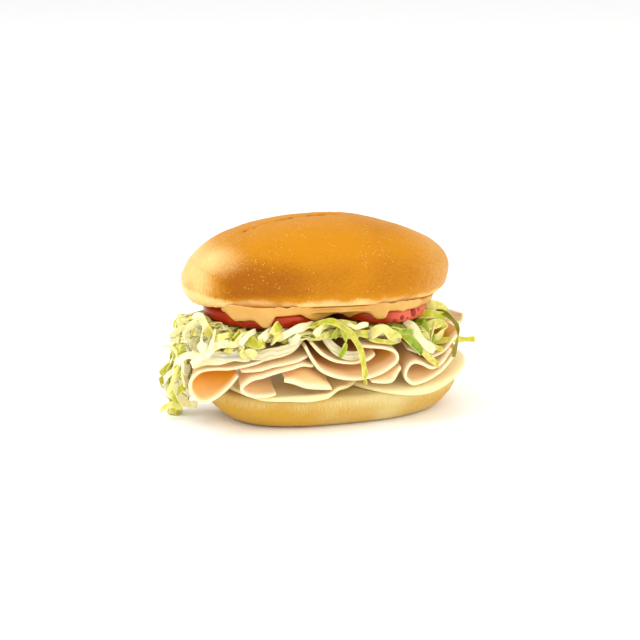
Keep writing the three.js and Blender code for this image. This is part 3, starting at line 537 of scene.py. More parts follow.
top_crust = baked_crust("top_crust", "#F2CC86", "#C2800C", "#9A5600")
heel_crust = baked_crust("heel_crust", "#D6C88E", "#C49838", "#7E4A0C")
cheese = mild_cheese()
turkey = roast_turkey("roast_turkey", "#E4BE84", False)
# The faces inside a fold: a lighter meat and a golden tint, painted light and shade.
turkey_in_fold = roast_turkey("roast_turkey_in_a_fold", "#ECCB90", True)
onion = raw_onion()
tomato = ripe_tomato()
dressing = creamy_dressing()
lettuce = iceberg_lettuce()
water = clear_water()
paper = matt_paper()


# ------------------------------------------------------------------ the roll

def roughen(bm, relief):
    """Moves each vertex along its normal by relief(its point in mm, its index), in mm."""
    bm.normal_update()
    moves = [relief(from_frame(vert.co), vert.index) * MM * vert.normal for vert in bm.verts]
    for vert, move in zip(bm.verts, moves):
        vert.co += move


def crown_section(level):
    """(inset, spread, rise) from the middle of the underside, level 0, to the top, level 1."""
    side_from, dome_from = 0.26, 0.4
    lip_inset, lip_rise, shoulder = (CROWN[key] for key in ("lip_inset", "lip_rise", "shoulder"))
    if level < side_from:
        t = level / side_from
        return CROWN["width"] / 2 * (1 - t) + lip_inset * t, 1, lip_rise * t ** 6
    if level < dome_from:
        a = math.pi / 2 * (level - side_from) / (dome_from - side_from)
        return lip_inset * (1 - math.sin(a)), 1, lip_rise + (shoulder - lip_rise) * (1 - math.cos(a))
    a = math.pi / 2 * (level - dome_from) / (1 - dome_from)
    power = 2 / CROWN["dome_curve"]
    return 0, max(0, math.cos(a)) ** power, shoulder + CROWN["dome"] * math.sin(a) ** power


def crack_distance(x, y):
    """How far, in mm, a point in plan is from the ragged crack along the crown's top."""
    here = Vector((x, y + 1.2 * fractal((x, 0, 0), 5, 2), 0))
    nearest = math.inf
    for a, b in zip(CRACK, CRACK[1:]):
        start, along = Vector((*a, 0)), Vector((b[0] - a[0], b[1] - a[1], 0))
        t = min(1, max(0, (here - start).dot(along) / along.length_squared))
        nearest = min(nearest, (here - start - along * t).length)
    return nearest


def crown_piece():
    """The top half: a dome with a low shoulder, a drooping left end and a split along its top."""
    c = CROWN
    sides, rings = 430, 210
    crack_width, crack_depth = 2.0, 0.9

    def end_share(x):
        return smoothstep(c["left_end_from"], c["left_end_to"], x)

    def place(ring, angle):
        inset, spread, rise = crown_section(ring / rings)
        lifted = max(0, rise - c["shoulder"])
        shift = c["centre_x"] + c["peak_shift"] * (lifted / c["dome"]) ** 2
        x, y = oval(angle, max(0, c["length"] / 2 - inset * c["end_slope"]) * spread,
                    (c["width"] / 2 - inset) * spread, c["squareness"])
        uneven = 1 + 0.012 * math.sin(2 * angle + 0.6) + 0.008 * math.sin(5 * angle + 1)
        drop = 1 - c["far_end_drop"] * smoothstep(5, 60, x)
        low_part = min(rise, c["shoulder"]) * (1 + c["right_shoulder_up"] * smoothstep(15, 60, x))
        over = c["shoulder"] * c["right_shoulder_up"] * smoothstep(15, 60, x)
        z = c["underside"] + low_part + lifted * (drop - over / c["dome"])
        at_left = end_share(x + shift) * (1 - smoothstep(12, 34, rise))
        x = x * uneven + shift - c["left_end_out"] * at_left
        return in_frame(settled((x, y * uneven, z - c["left_end_droop"] * at_left)))

    bm = round_bmesh(sides, rings, place)
    rises, torn = {}, {}
    darkening_layer, paleness_layer, torn_layer = float_layers(bm, "darkening", "paleness", "torn")
    bm.verts.index_update()
    for vert in bm.verts:
        p = from_frame(vert.co)
        droop = c["left_end_droop"] * end_share(p.x)
        rise = p.z - c["underside"] + SETTLE["lean"] * (p.x - SETTLE["lean_centre"]) + droop
        rises[vert.index] = rise
        patch = fractal(p, 22, 2)
        left_end = smoothstep(-62, -82, p.x)
        on_side = smoothstep(2.5, 9, rise) * (1 - smoothstep(14, 31, rise + 3 * patch))
        reach = 0.4 + 0.6 * math.exp(-((p.x + 54) / 24) ** 2)
        top_tan = 0.16 * smoothstep(12, 24, rise) * (1 - 0.7 * smoothstep(25, 60, p.x)) * (1 + patch)
        torn[vert.index] = math.exp(-((crack_distance(p.x, p.y) / crack_width) ** 2)) if rise > 24 else 0
        broken = 0.5 + 1.1 * fractal((p.x, p.y, 40), 3.2, 2)
        # The belt on the lower side of the dome: browning and painted shade.
        vert[darkening_layer] = (on_side * reach * (1 - 0.85 * left_end) + top_tan) * (1 + 0.3 * patch)
        # Paler crust at the less baked left end, and a painted highlight on the upper left shoulder.
        upper_left = smoothstep(-44, -80, p.x) * smoothstep(12, 25, rise)
        pale_end_and_highlight = 0.78 * max(smoothstep(-64, -82, p.x), upper_left) * (1 - smoothstep(26, 40, rise))
        near_tear = 1 - smoothstep(0.5, 6.5, rise - 7 * left_end + 1.6 * fractal(p, 9, 2))
        # Painted light: the right end paler, as if lit more from the right.
        paler_right = 0.42 * smoothstep(18, 62, p.x)
        vert[paleness_layer] = max(near_tear, pale_end_and_highlight * (1 + 0.4 * patch), paler_right)
        vert[torn_layer] = torn[vert.index] * min(1, max(0, broken))

    def relief(p, index):
        rise = rises[index]
        dents = 0.5 * fractal(p, 30, 2) + 0.14 * fractal(p, 8, 3)
        left_end = smoothstep(-52, -78, p.x)
        near_tear = max(1 - smoothstep(3, 11, rise), left_end * (1 - smoothstep(14, 26, rise)))
        stretched = Vector((p.x / 1.9, p.y / 1.9, p.z / 11))
        wrinkles = 0.34 * noise.noise(stretched) * near_tear
        pimples = 0.12 * fractal(p, 1.5, 2)
        crack = -crack_depth * torn[index] * (1 + 0.8 * fractal((p.x, p.y, 40), 3.2, 2))
        return (dents + wrinkles + pimples) * smoothstep(0, 1.5, rise) + crack

    roughen(bm, relief)
    place_piece(bm, "crown_of_the_roll", [top_crust], ["bun_top"])


def heel_piece():
    """The bottom half: a flat-topped cushion of bread whose ends slope in to the table."""
    h = HEEL
    sides, rings = 420, 130
    section = smooth_outline(HEEL_SECTION, rings)

    def place(ring, angle):
        inset, rise, _ = section[ring]
        slope = 1 + (h["end_slope"] - 1) * (1 - smoothstep(6, 11, rise))
        x, y = oval(angle, max(0, h["length"] / 2 - inset * slope), h["width"] / 2 - inset,
                    h["squareness"])
        return in_frame(settled((x, y, rise)))

    bm = round_bmesh(sides, rings, place)
    darkening_layer, paleness_layer = float_layers(bm, "darkening", "paleness")
    for vert in bm.verts:
        p = from_frame(vert.co)
        patch = fractal(p, 18, 2)
        base_line = 1 - smoothstep(0.4, 2.2 + 0.8 * fractal(p, 2.2, 2), p.z)
        middle = math.exp(-((p.x - 24) / 38) ** 2)
        vert[darkening_layer] = 0.85 * base_line * (0.6 + 0.6 * fractal(p, 1.8, 2)) + 0.05 * (1 + patch)
        vert[paleness_layer] = 0.12 + 0.45 * middle + 0.2 * patch + 0.3 * smoothstep(9, 17, p.z)

    def relief(p, _index):
        dents = 0.35 * fractal(p, 24, 2) + 0.1 * fractal(p, 5, 2)
        stretched = Vector((p.x / 1.3, p.y / 1.3, p.z / 14))
        wrinkles = 0.22 * noise.noise(stretched)
        on_side = smoothstep(0, 2.5, p.z) * (1 - smoothstep(17.5, 19.5, p.z))
        return (dents + wrinkles) * on_side

    roughen(bm, relief)
    place_piece(bm, "heel_of_the_roll", [heel_crust], ["bun_bottom"])


# ------------------------------------------------------------------ cheese

def cheese_piece(slice_):
    """A round slice of cheese; the left one climbs over the right one's edge, and its rim lifts."""
    sides, rings = 180, 60
    radius, thickness = slice_["radius"], CHEESE["thickness"]
    section = smooth_outline([
        (0, 0), (radius * 0.5, 0), (radius - 1.2, 0), (radius, 0.7), (radius, thickness - 0.7),
        (radius - 1.2, thickness), (radius * 0.5, thickness), (0, thickness)], rings)
    edge = CHEESE_SLICES[1]["x"] - CHEESE_SLICES[1]["radius"]

    def place(ring, angle):
        r, rise, _ = section[ring]
        wavy = r * (1 + 0.012 * math.sin(3 * angle + slice_["x"]))
        x = slice_["x"] + wavy * math.cos(angle)
        y = CHEESE["y"] + wavy * math.sin(angle)
        climb = CHEESE["climb"] * smoothstep(edge - 12, edge - 3, x) if slice_["climbs"] else 0
        ripple = 0.25 * fractal((x, y, 0), 16, 2) * (r / radius) ** 3
        lift = CHEESE["left_rim_lift"] * smoothstep(33, 43, abs(y)) if slice_["climbs"] else 0
        return in_frame(settled((x, y, CHEESE["low"] + climb + lift + rise + ripple)))

    bm = round_bmesh(sides, rings, place)
    place_piece(bm, slice_["node"] + "_slice", [cheese], [slice_["node"]])


# ------------------------------------------------------------------ turkey

def slice_piece(node, surface, columns, rows, outward=None, fold_shade_strength=1, pale=0):
    """A thin slice of meat on both sides of surface(column, u, v), with soft cut edges.  Of a folded slice,
    outward is a point in mm far outside the fold, and the number after it says how strong the painted shade
    and bounce light inside the fold are, most at the top.  pale is how much painted light makes its faces
    cream, as if lit."""
    bm = bmesh.new()
    rim_and_light_layer, fold_layer = float_layers(bm, "rim_and_painted_light", "in_fold")
    for vert in bmesh.ops.create_grid(bm, x_segments=columns, y_segments=rows, size=0.5)["verts"]:
        u, v = vert.co.x + 0.5, vert.co.y + 0.5
        vert.co = in_frame(settled(surface(round(u * columns), u, v)))
        inward = 2 * min(v, 1 - v)
        # The cut rim, and painted light over the whole of a slice given pale.
        vert[rim_and_light_layer] = max(pale, 1 - smoothstep(0, 0.16, min(inward, 3 * min(u, 1 - u))))
        # Painted shade and bounce light, more the further into the fold.
        vert[fold_layer] = fold_shade_strength * smoothstep(0.0, 0.24, inward)
    low, high = (pick(vert.co.z for vert in bm.verts) for pick in (min, max))
    for vert in bm.verts:
        # The painted shade is strongest towards the top of the slice.
        vert[fold_layer] *= 0.75 + 0.25 * smoothstep(0.1, 0.6, (vert.co.z - low) / (high - low))
    bmesh.ops.recalc_face_normals(bm, faces=bm.faces)
    if outward:
        out = in_frame(outward)
        nearest = min(bm.faces, key=lambda face: (face.calc_center_median() - out).length)
        if nearest.normal.dot(out - nearest.calc_center_median()) < 0:
            bmesh.ops.reverse_faces(bm, faces=bm.faces)
    place_piece(bm, node + "_slice", [turkey, turkey_in_fold], [node], [
        ("SOLIDIFY", dict(thickness=TURKEY_THICKNESS * MM, offset=0, material_offset=1 if outward else 0)),
        ("SUBSURF", dict(levels=1, render_levels=1))])


def folded_slice(s):
    """A slice folded over itself, which runs through the filling from front to back."""
    columns, rows = 72, 46
    profile = smooth_outline(s["profile"], columns)

    def surface(column, u, v):
        x, z, _ = profile[column]
        reach = filling_reach(x)
        roundness = 3.5 * (2 * u - 1) ** 4
        ragged = 0.5 * fractal((x, z, s["hinge"]), 6, 2)
        near = -reach + s["front"] + roundness + ragged
        far = reach - s["back"] - roundness + ragged
        beyond = max(0, (x - s["hinge"]) * s["nose"]) * s["nose"]
        soft = 0.35 * fractal((x, v * 30, z), 12, 2)
        closed = max(0, s.get("close_to", 0) - z) * s.get("closes", 0) * smoothstep(0, 0.8, v)
        return x - beyond * s["retract"] * v, near + (far - near) * v, z + closed + soft * min(1, 4 * v)

    nose = s["hinge"] + 200 * s["nose"]
    slice_piece(s["node"], surface, columns, rows, (nose, 0, profile[columns // 2].y),
                       s.get("fold_shade_strength", 1))


def draped_slice(s):
    """A slice that comes out of the filling and hangs down at the front."""
    columns, rows = 36, 44
    top = smooth_outline(s["top"], columns)
    low = smooth_outline(s["low"], columns)
    paths = []
    for above, below in zip(top, low):
        reach = -filling_reach(above.x)
        knee_z = above.y + (below.y - above.y) * 0.55
        paths.append(smooth_path([
            (above.x, 22, above.y - 0.6), (above.x, reach + 16, above.y - 0.4),
            (above.x, reach + 5, above.y - 1.4), ((above.x + below.x) / 2, reach + 1.6, knee_z),
            (below.x, reach + 0.6, below.y)], rows))

    def surface(column, u, v):
        return paths[column][round(v * rows)]

    slice_piece(s["node"], surface, columns, rows)


def corner_slice(s):
    """The slice at the right end, whose corner turns up; its faces are painted pale cream all over, painted
    light on a face that lies in shade.
    """
    columns, rows = 40, 30
    profile = smooth_outline(s["profile"], columns)

    def surface(column, u, v):
        x, z, _ = profile[column]
        return x, s["front_y"] + s["depth"] * v, z - s["far_drop"] * v + 0.4 * fractal((x, v * 30, z), 12, 2)

    slice_piece(s["node"], surface, columns, rows, pale=1)


# ------------------------------------------------------------------ onion

def across_path(path, i, turn):
    """The direction of travel at point i of a path and the direction across it, turned by turn."""
    ahead = path[min(i + 1, len(path) - 1)] - path[max(i - 1, 0)]
    ahead.normalize()
    level = Vector((-ahead.y, ahead.x, 0))
    if level.length < 1e-3:
        level = Vector((0, 1, 0))
    level.normalize()
    return ahead, Matrix.Rotation(turn, 3, ahead) @ level


def onion_piece(strip):
    """A cut strip of onion, bent across like the layer it came from."""
    columns, rows = 44, 8
    path = smooth_path(strip["path"], columns)
    start, end = ONION["twist"]

    def place(column, u, v):
        ahead, across = across_path(path, column, start + (end - start) * u)
        out = ahead.cross(across)
        width = ONION["width"] * (1 - 0.25 * abs(2 * u - 1) ** 3)
        bent = 0.5 * (1 - (2 * v - 1) ** 2)
        point = path[column] + across * (v - 0.5) * width + out * bent
        return in_frame(settled(point + Vector((0, 0, 0.15 * fractal(point, 5, 2)))))

    bm = bmesh.new()
    across_layer, = float_layers(bm, "across")
    for i, vert in enumerate(sheet_grid(bm, columns, rows, place)):
        vert[across_layer] = ONION["layers"] * math.tau * (i // (columns + 1)) / rows
    place_piece(bm, strip["node"] + "_strip", [onion], [strip["node"]], [
        ("SOLIDIFY", dict(thickness=ONION["thickness"] * MM, offset=0)),
        ("SUBSURF", dict(levels=1, render_levels=1))])


# ------------------------------------------------------------------ tomato

def tomato_piece(slice_):
    """A slice of tomato with a rounded skin and a slightly lobed outline."""
    sides, rings = 160, 70
    radius, thickness = slice_["radius"], TOMATO["thickness"]
    section = smooth_outline([
        (0, 0), (radius * 0.5, 0), (radius - 1.6, 0), (radius - 0.35, 1.6), (radius, thickness / 2),
        (radius - 0.35, thickness - 1.6), (radius - 1.6, thickness), (radius * 0.5, thickness),
        (0, thickness)], rings)

    def place(ring, angle):
        r, rise, _ = section[ring]
        lobed = r * (1 + 0.01 * math.sin(3 * angle + slice_["x"]) + 0.004 * math.sin(8 * angle))
        x = slice_["x"] + lobed * math.cos(angle)
        y = slice_["y"] + lobed * math.sin(angle)
        return in_frame(settled((x, y, TOMATO["underside"] + rise)))

    bm = round_bmesh(sides, rings, place)
    face, pink_flesh_and_sheen = float_layers(bm, "face", "pink_flesh_and_sheen")
    for vert in bm.verts:
        local = from_frame(vert.co)
        # Pinker to the right: wet flesh and a painted reflection on the skin.
        vert[pink_flesh_and_sheen] = smoothstep(16, 30, local.x + 3 * fractal(local, 12, 2))
        from_centre = math.hypot(local.x - slice_["x"], local.y - slice_["y"])
        vert[face] = 1 - smoothstep(radius - 3, radius - 1.2, from_centre)
    place_piece(bm, slice_["node"] + "_slice", [tomato], [slice_["node"]])


# ------------------------------------------------------------------ dressing

def under_crown(x, y):
    """The height at which the crown's curved underside hangs over a point in plan, in level mm."""
    c = CROWN
    along = min(1, abs(x - c["centre_x"]) / (c["length"] / 2))
    half_width = c["width"] / 2 * (1 - along ** c["squareness"]) ** (1 / c["squareness"])
    inset = min(c["lip_inset"], max(0, half_width - abs(y)))
    turn = math.asin(1 - inset / c["lip_inset"])
    return c["underside"] + c["lip_rise"] + (c["shoulder"] - c["lip_rise"]) * (1 - math.cos(turn))


def sauce_edge(bm, stops, columns):
    """The rim of dressing that hangs over the tomato along the stops, from one end to the other."""
    top = CROWN["underside"] - 0.2
    shelf = TOMATO["underside"] + TOMATO["thickness"] + SAUCE["gap"]
    route = smooth_path(stops, columns)
    ring = 26

    def place(column, u, v):
        here = route[column]
        ahead = route[min(column + 1, columns)] - route[max(column - 1, 0)]
        out = Vector((ahead.y, -ahead.x, 0)).normalized()
        depth = here.z + 0.35 * fractal((here.x, here.y, 0), 4, 2)
        hangs = smoothstep(-1, 2, depth)
        wall = SAUCE["wall"] * (0.55 + 0.45 * hangs)
        foot = shelf - max(0, depth) - 0.2
        lip = here + Vector((out.x, out.y, 0)) * wall * 0.6
        brim = min(top + 2.6, under_crown(lip.x, lip.y) + 0.8)
        inner = 0.2 - 1.4 * (1 - hangs)
        outline = smooth_outline([
            (-SAUCE["tuck"], top), (-SAUCE["tuck"], shelf), (inner, shelf),
            (inner, foot + 0.15 + 0.5 * hangs), (wall * 0.45, foot - 0.3 * hangs),
            (wall * 0.95, foot + 1.3), (wall * 0.95, shelf + 1.8), (wall * 0.6, brim), (0, top),
            (-SAUCE["tuck"], top)], ring)
        beyond, height, _ = outline[round(v * ring)]
        return in_frame(settled((here.x + out.x * beyond, here.y + out.y * beyond, height)))

    verts = sheet_grid(bm, columns, ring, place)
    bmesh.ops.remove_doubles(bm, verts=verts, dist=1e-6)
    rims = [edge for edge in bm.edges if edge.is_boundary]
    bmesh.ops.holes_fill(bm, edges=rims, sides=0)


def back_edge():
    """Stops round the back of both tomato slices, with a few unhurried drips."""
    dice = random.Random(BACK_DRIPS["seed"])
    count = BACK_DRIPS["stops"]
    stops = []
    for i in range(count):
        x, y = oval(math.pi * (0.1 + 0.8 * i / (count - 1)), SAUCE["half_length"] + 1,
                    SAUCE["half_width"] - 2, SAUCE["squareness"])
        hangs = dice.uniform(-1, BACK_DRIPS["deepest"]) if i % 3 == 1 else 0.2
        stops.append((x + SAUCE["shift_x"], y, hangs))
    return stops


def sauce_piece():
    """The layer of dressing and its edges, melted into one body."""
    sides, rings = 120, 40
    low = TOMATO["underside"] + TOMATO["thickness"] + SAUCE["gap"]
    high = CROWN["underside"] - 0.1
    section = smooth_outline([(0, low), (0.6, low), (0.96, low + 0.1), (1, (low + high) / 2),
                              (0.97, high), (0.6, high), (0, high)], rings)

    def place(ring, angle):
        spread, z, _ = section[ring]
        spread *= 1 + 0.015 * math.sin(5 * angle)
        x, y = oval(angle, SAUCE["half_length"] * spread, SAUCE["half_width"] * spread,
                    SAUCE["squareness"])
        return in_frame(settled((x + SAUCE["shift_x"], y, z)))

    bm = round_bmesh(sides, rings, place)
    sauce_edge(bm, FRONT_EDGE, 260)
    sauce_edge(bm, back_edge(), 180)
    bmesh.ops.recalc_face_normals(bm, faces=bm.faces)
    place_piece(bm, "dressing_with_drips", [dressing], ["sauce"], [
        ("REMESH", dict(mode="VOXEL", voxel_size=0.7 * MM, use_smooth_shade=True)),
        ("SMOOTH", dict(factor=0.6, iterations=9))])


# ------------------------------------------------------------------ lettuce

# The strips that stand out, in settled mm.  Tone goes from 0, white rib, through 0.5, yellow-green,
# to 1, dark outer leaf; twist is the turn of the flat side, in radians, at both ends.
LEAF_STRIPS = [
    # the curls and flat pieces at the upper left
    dict(path=[(-72, -24, 57), (-77, -22, 60.7), (-80, -20, 63.3), (-83, -18, 63.7), (-86, -16, 62.4),
               (-89.4, -14, 61.9), (-90.5, -14, 63.4), (-88.4, -14, 64.8)], width=1.9, tone=(0.45, 0.5),
         twist=(0.3, 0.9)),
    dict(path=[(-83, -18, 65), (-80.3, -22, 65.5), (-78.6, -26, 63.3), (-77.9, -29, 61),
               (-76.5, -31, 57)], width=4.4, tone=(0.25, 0.55), twist=(0.4, 1.2)),
    dict(path=[(-78, -22, 61), (-81.5, -22, 62), (-85.8, -22, 59.6), (-88.4, -24, 55.9),
               (-88.6, -24, 52.3)], width=6.5, tone=(0.1, 0.18), twist=(0.7, 1.3)),
    dict(path=[(-83, -14, 57), (-87, -14, 57.5), (-90.4, -14, 55.8), (-93.1, -14, 53.3),
               (-93, -14, 50.1)], width=4.6, tone=(0.1, 0.16), twist=(0.8, 1.3)),
    dict(path=[(-84, -18, 53), (-88.4, -20, 52), (-90, -21, 49.8), (-89.2, -22, 47.6),
               (-91.6, -22, 45.6), (-90.4, -22, 43)], width=3.2, tone=(0.82, 0.7), twist=(1.0, 1.5)),
    dict(path=[(-98, -10, 47), (-95.1, -12, 47.4), (-92.8, -16, 46.1), (-91.8, -18, 43.4),
               (-92.1, -20, 37.7), (-93.5, -20, 34.1), (-96, -18, 25.9), (-97, -16, 22.1)], width=1.9,
         tone=(0.42, 0.5), twist=(0.9, 1.3)),
    # the long ribbon and the pieces round it at the left front
    dict(path=[(-87.3, -32, 42.8), (-83.3, -34, 46.7), (-79.3, -36, 48.7), (-76.8, -37, 51.5),
               (-73.5, -38, 54.2), (-69.3, -39, 54.6), (-65.1, -40, 54.1), (-62, -40, 57),
               (-57, -37, 58.8)], width=3.9, tone=(0.16, 0.4), twist=(1.0, 1.5)),
    dict(path=[(-78, -29, 61), (-80.8, -32, 59.8), (-81.7, -34, 56.5), (-81.6, -35, 53.1),
               (-79.5, -35, 50)], width=5.2, tone=(0.3, 0.1), twist=(1.1, 1.5)),
    dict(path=[(-75.5, -32, 56), (-74.3, -36, 56.9), (-71.2, -38, 58.5), (-69, -38, 59),
               (-65.5, -34, 57.5)], width=3.2, tone=(0.4, 0.5), twist=(1.0, 1.6)),
    dict(path=[(-66.5, -35, 52), (-65.5, -38, 54.9), (-64.2, -38.5, 57.6), (-61.5, -35, 59)], width=4.6,
         tone=(0.78, 0.72), twist=(1.2, 1.6)),
    dict(path=[(-71, -35, 57), (-68, -37.5, 55.5), (-70, -38, 51.5), (-66, -37.5, 50)], width=3.4,
         tone=(0.7, 0.5), twist=(1.0, 1.5)),
    dict(path=[(-60, -35, 55), (-56.3, -38.5, 54.6), (-53.7, -40, 52.9), (-50.6, -40.5, 53.4),
               (-48.6, -37, 54)], width=5.6, tone=(0.7, 0.62), twist=(1.0, 1.5)),
    dict(path=[(-62.5, -37, 50.5), (-60.4, -40, 49), (-57.5, -41, 49.3), (-54.3, -41, 46.9)], width=4,
         tone=(0.45, 0.35), twist=(1.2, 1.5)),
    dict(path=[(-63, -38, 54), (-61.5, -40.5, 52), (-61.8, -41, 48.6), (-59, -40.5, 46.4)], width=2.8,
         tone=(0.3, 0.5), twist=(1.0, 1.6)),
    # the pale pieces that lie on the big fold
    dict(path=[(-86, -29, 41.5), (-81, -33, 43.8), (-75, -35.5, 45), (-68, -37.4, 46),
               (-62, -37.5, 48)], width=5, tone=(0.16, 0.24), twist=(0.9, 1.3)),
    dict(path=[(-80, -30, 46), (-75, -34, 47), (-69, -36.8, 46.8), (-63, -38.2, 46), (-57, -38.8, 46)],
         width=4.5, tone=(0.06, 0.16), twist=(0.7, 1.1)),
    # over and beside the onion in the middle
    dict(path=[(-44.2, -37, 53.6), (-44, -40.5, 56), (-43.2, -41, 59.4), (-40.6, -38.5, 63)], width=7,
         tone=(0.1, 0.75), twist=(1.2, 1.5)),
    dict(path=[(-25, -31, 58), (-20.5, -37.5, 60.8), (-17.4, -40, 62.3), (-13.1, -41.5, 62.9),
               (-8.8, -43, 60.9), (-3.7, -44, 56.9), (-0.4, -45, 51.9), (2.2, -45.5, 46.3),
               (3.7, -45.5, 38.9), (4.7, -45.5, 33.3), (4.8, -45.4, 27.3)], width=3.5, tone=(0.66, 0.5),
         twist=(0.5, 1.45)),
    dict(path=[(-17, -34, 59), (-12.5, -40.5, 62), (-8.6, -42.5, 60.6), (-6.4, -44, 56.6),
               (-6, -45, 52.4), (-6.7, -45, 48.3), (-9.1, -44, 43.2)], width=2.8, tone=(0.55, 0.76),
         twist=(0.7, 1.5)),
    dict(path=[(-9, -34, 60), (-13.7, -38, 60), (-18.6, -41, 59), (-22.3, -42, 56)], width=4.4,
         tone=(0.5, 0.16), twist=(1.1, 1.5)),
    dict(path=[(-6, -36, 58.5), (-8.4, -40, 59), (-10.1, -41.5, 56.1), (-11.9, -42, 53.8)], width=4,
         tone=(0.5, 0.72), twist=(0.9, 1.6)),
    dict(path=[(-3, -33, 57), (0, -36, 56.1), (3.7, -39, 54.2), (8.6, -38, 53)], width=4,
         tone=(0.4, 0.5), twist=(0.6, 1.3)),
    dict(path=[(-9, -32, 58.6), (-5, -36, 59.4), (-1, -36.5, 58.8), (3, -34.5, 57.6)], width=4,
         tone=(0.3, 0.5), twist=(1.2, 1.4)),
    # the white and yellow piece right of the middle
    dict(path=[(8, -34, 52), (10.5, -38, 52.6), (13.2, -40, 55.4), (16.6, -40.5, 56),
               (20.9, -40.5, 52.5), (26.3, -40, 48.9)], width=5.4, tone=(0.08, 0.4), twist=(1.0, 1.5)),
    dict(path=[(9, -39, 51), (14.2, -41, 49.5), (20.6, -41, 48.6), (26.3, -40, 49)], width=2.8,
         tone=(0.5, 0.46), twist=(0.9, 1.3)),
    # the right front
    dict(path=[(16, -31, 55), (19.1, -35, 55), (23.2, -38, 53.9), (27.9, -38, 52.6), (34.6, -36, 52)],
         width=3.2, tone=(0.66, 0.74), twist=(0.9, 1.3)),
    dict(path=[(26, -32, 52.5), (29.1, -36.5, 50.6), (31.9, -38.5, 48.5), (35.3, -38.8, 44.7),
               (39.3, -38.4, 39.7)], width=4.6, tone=(0.6, 0.75), twist=(0.9, 1.4)),
    dict(path=[(36, -34, 45), (39.3, -38, 41), (43.2, -38.4, 37.2), (47.1, -37.4, 33.5),
               (50.8, -36, 30.6)], width=3.4, tone=(0.16, 0.5), twist=(1.1, 1.5)),
    dict(path=[(40, -32, 50), (43.1, -35, 47.2), (47.6, -35, 41.8), (52.8, -33.6, 39.4)], width=2.4,
         tone=(0.25, 0.4), twist=(0.8, 1.5)),
    dict(path=[(40, -28, 52), (44.9, -31, 52.2), (49.2, -31, 53.4), (54.3, -29, 52.2),
               (54.9, -30.5, 49.3), (50.4, -32.5, 46.2), (47.6, -31, 45.6)], width=5.2,
         tone=(0.35, 0.22), twist=(0.6, 1.3)),
    dict(path=[(42, -12, 60), (47.8, -16, 61), (52.8, -18, 60), (57.3, -18, 57.8), (62, -16, 54.8)],
         width=6.4, tone=(0.25, 0.36), twist=(0.6, 1.2)),
    dict(path=[(40, -22, 57), (44.2, -25, 57.7), (47.9, -27, 58), (52.3, -27, 56.9), (57, -25, 54.8)],
         width=5, tone=(0.4, 0.55), twist=(0.7, 1.3)),
    dict(path=[(45, -26, 44), (51, -28.5, 43), (58.4, -28.5, 42.8), (65.8, -26, 41.6), (76, -22, 39.8)],
         width=3.4, tone=(0.36, 0.5), twist=(0.8, 1.3)),
    dict(path=[(52, -18, 57), (55.9, -23, 57.6), (58.8, -30, 55.7), (60.9, -34.2, 52.1),
               (61, -36.4, 48.4), (59.4, -37.3, 42.4), (58, -37.3, 35.6)], width=2.5, tone=(0.94, 1.0),
         twist=(0.9, 1.4)),
    # the spill
    dict(path=[(-86.8, -5.9, 36.6), (-88.5, -6.9, 32.7), (-90.8, -6.9, 28.3), (-91, -6.9, 22.8),
               (-89.3, -6.9, 17.5), (-85.1, -4.9, 11.8), (-78.4, -2.9, 9.6)], width=4.6,
         tone=(0.2, 0.34), twist=(0.9, 1.5)),
    dict(path=[(-89.8, -3.9, 32.6), (-89, -7.9, 30.7), (-88, -9.9, 29.4), (-86, -9.9, 28.2)], width=3,
         tone=(0.8, 0.75), twist=(1.0, 1.5)),
    dict(path=[(-89.8, -5.9, 17.6), (-88.8, -8.4, 20.4), (-87.2, -9.4, 22.6), (-85.8, -7.9, 21)],
         width=4, tone=(0.72, 0.78), twist=(1.0, 1.5)),
    dict(path=[(-87.8, -2.9, 11.6), (-89.9, -4.9, 14.2), (-92, -5.9, 17.6), (-93.4, -3.9, 20.6)],
         width=3.8, tone=(0.76, 0.7), twist=(0.9, 1.5)),
    dict(path=[(-96.2, 3.1, 15.2), (-93.7, 1.1, 15.1), (-89.8, 0.1, 13.1), (-85.8, 2.1, 10.6)],
         width=2.4, tone=(0.2, 0.3), twist=(0.7, 1.3)),
    dict(path=[(-97.4, 5.1, 5.2), (-93.9, 3.1, 8.2), (-90.2, 1.1, 9.4), (-86.2, 1.1, 7)], width=3.4,
         tone=(0.6, 0.4), twist=(0.8, 1.4)),
]
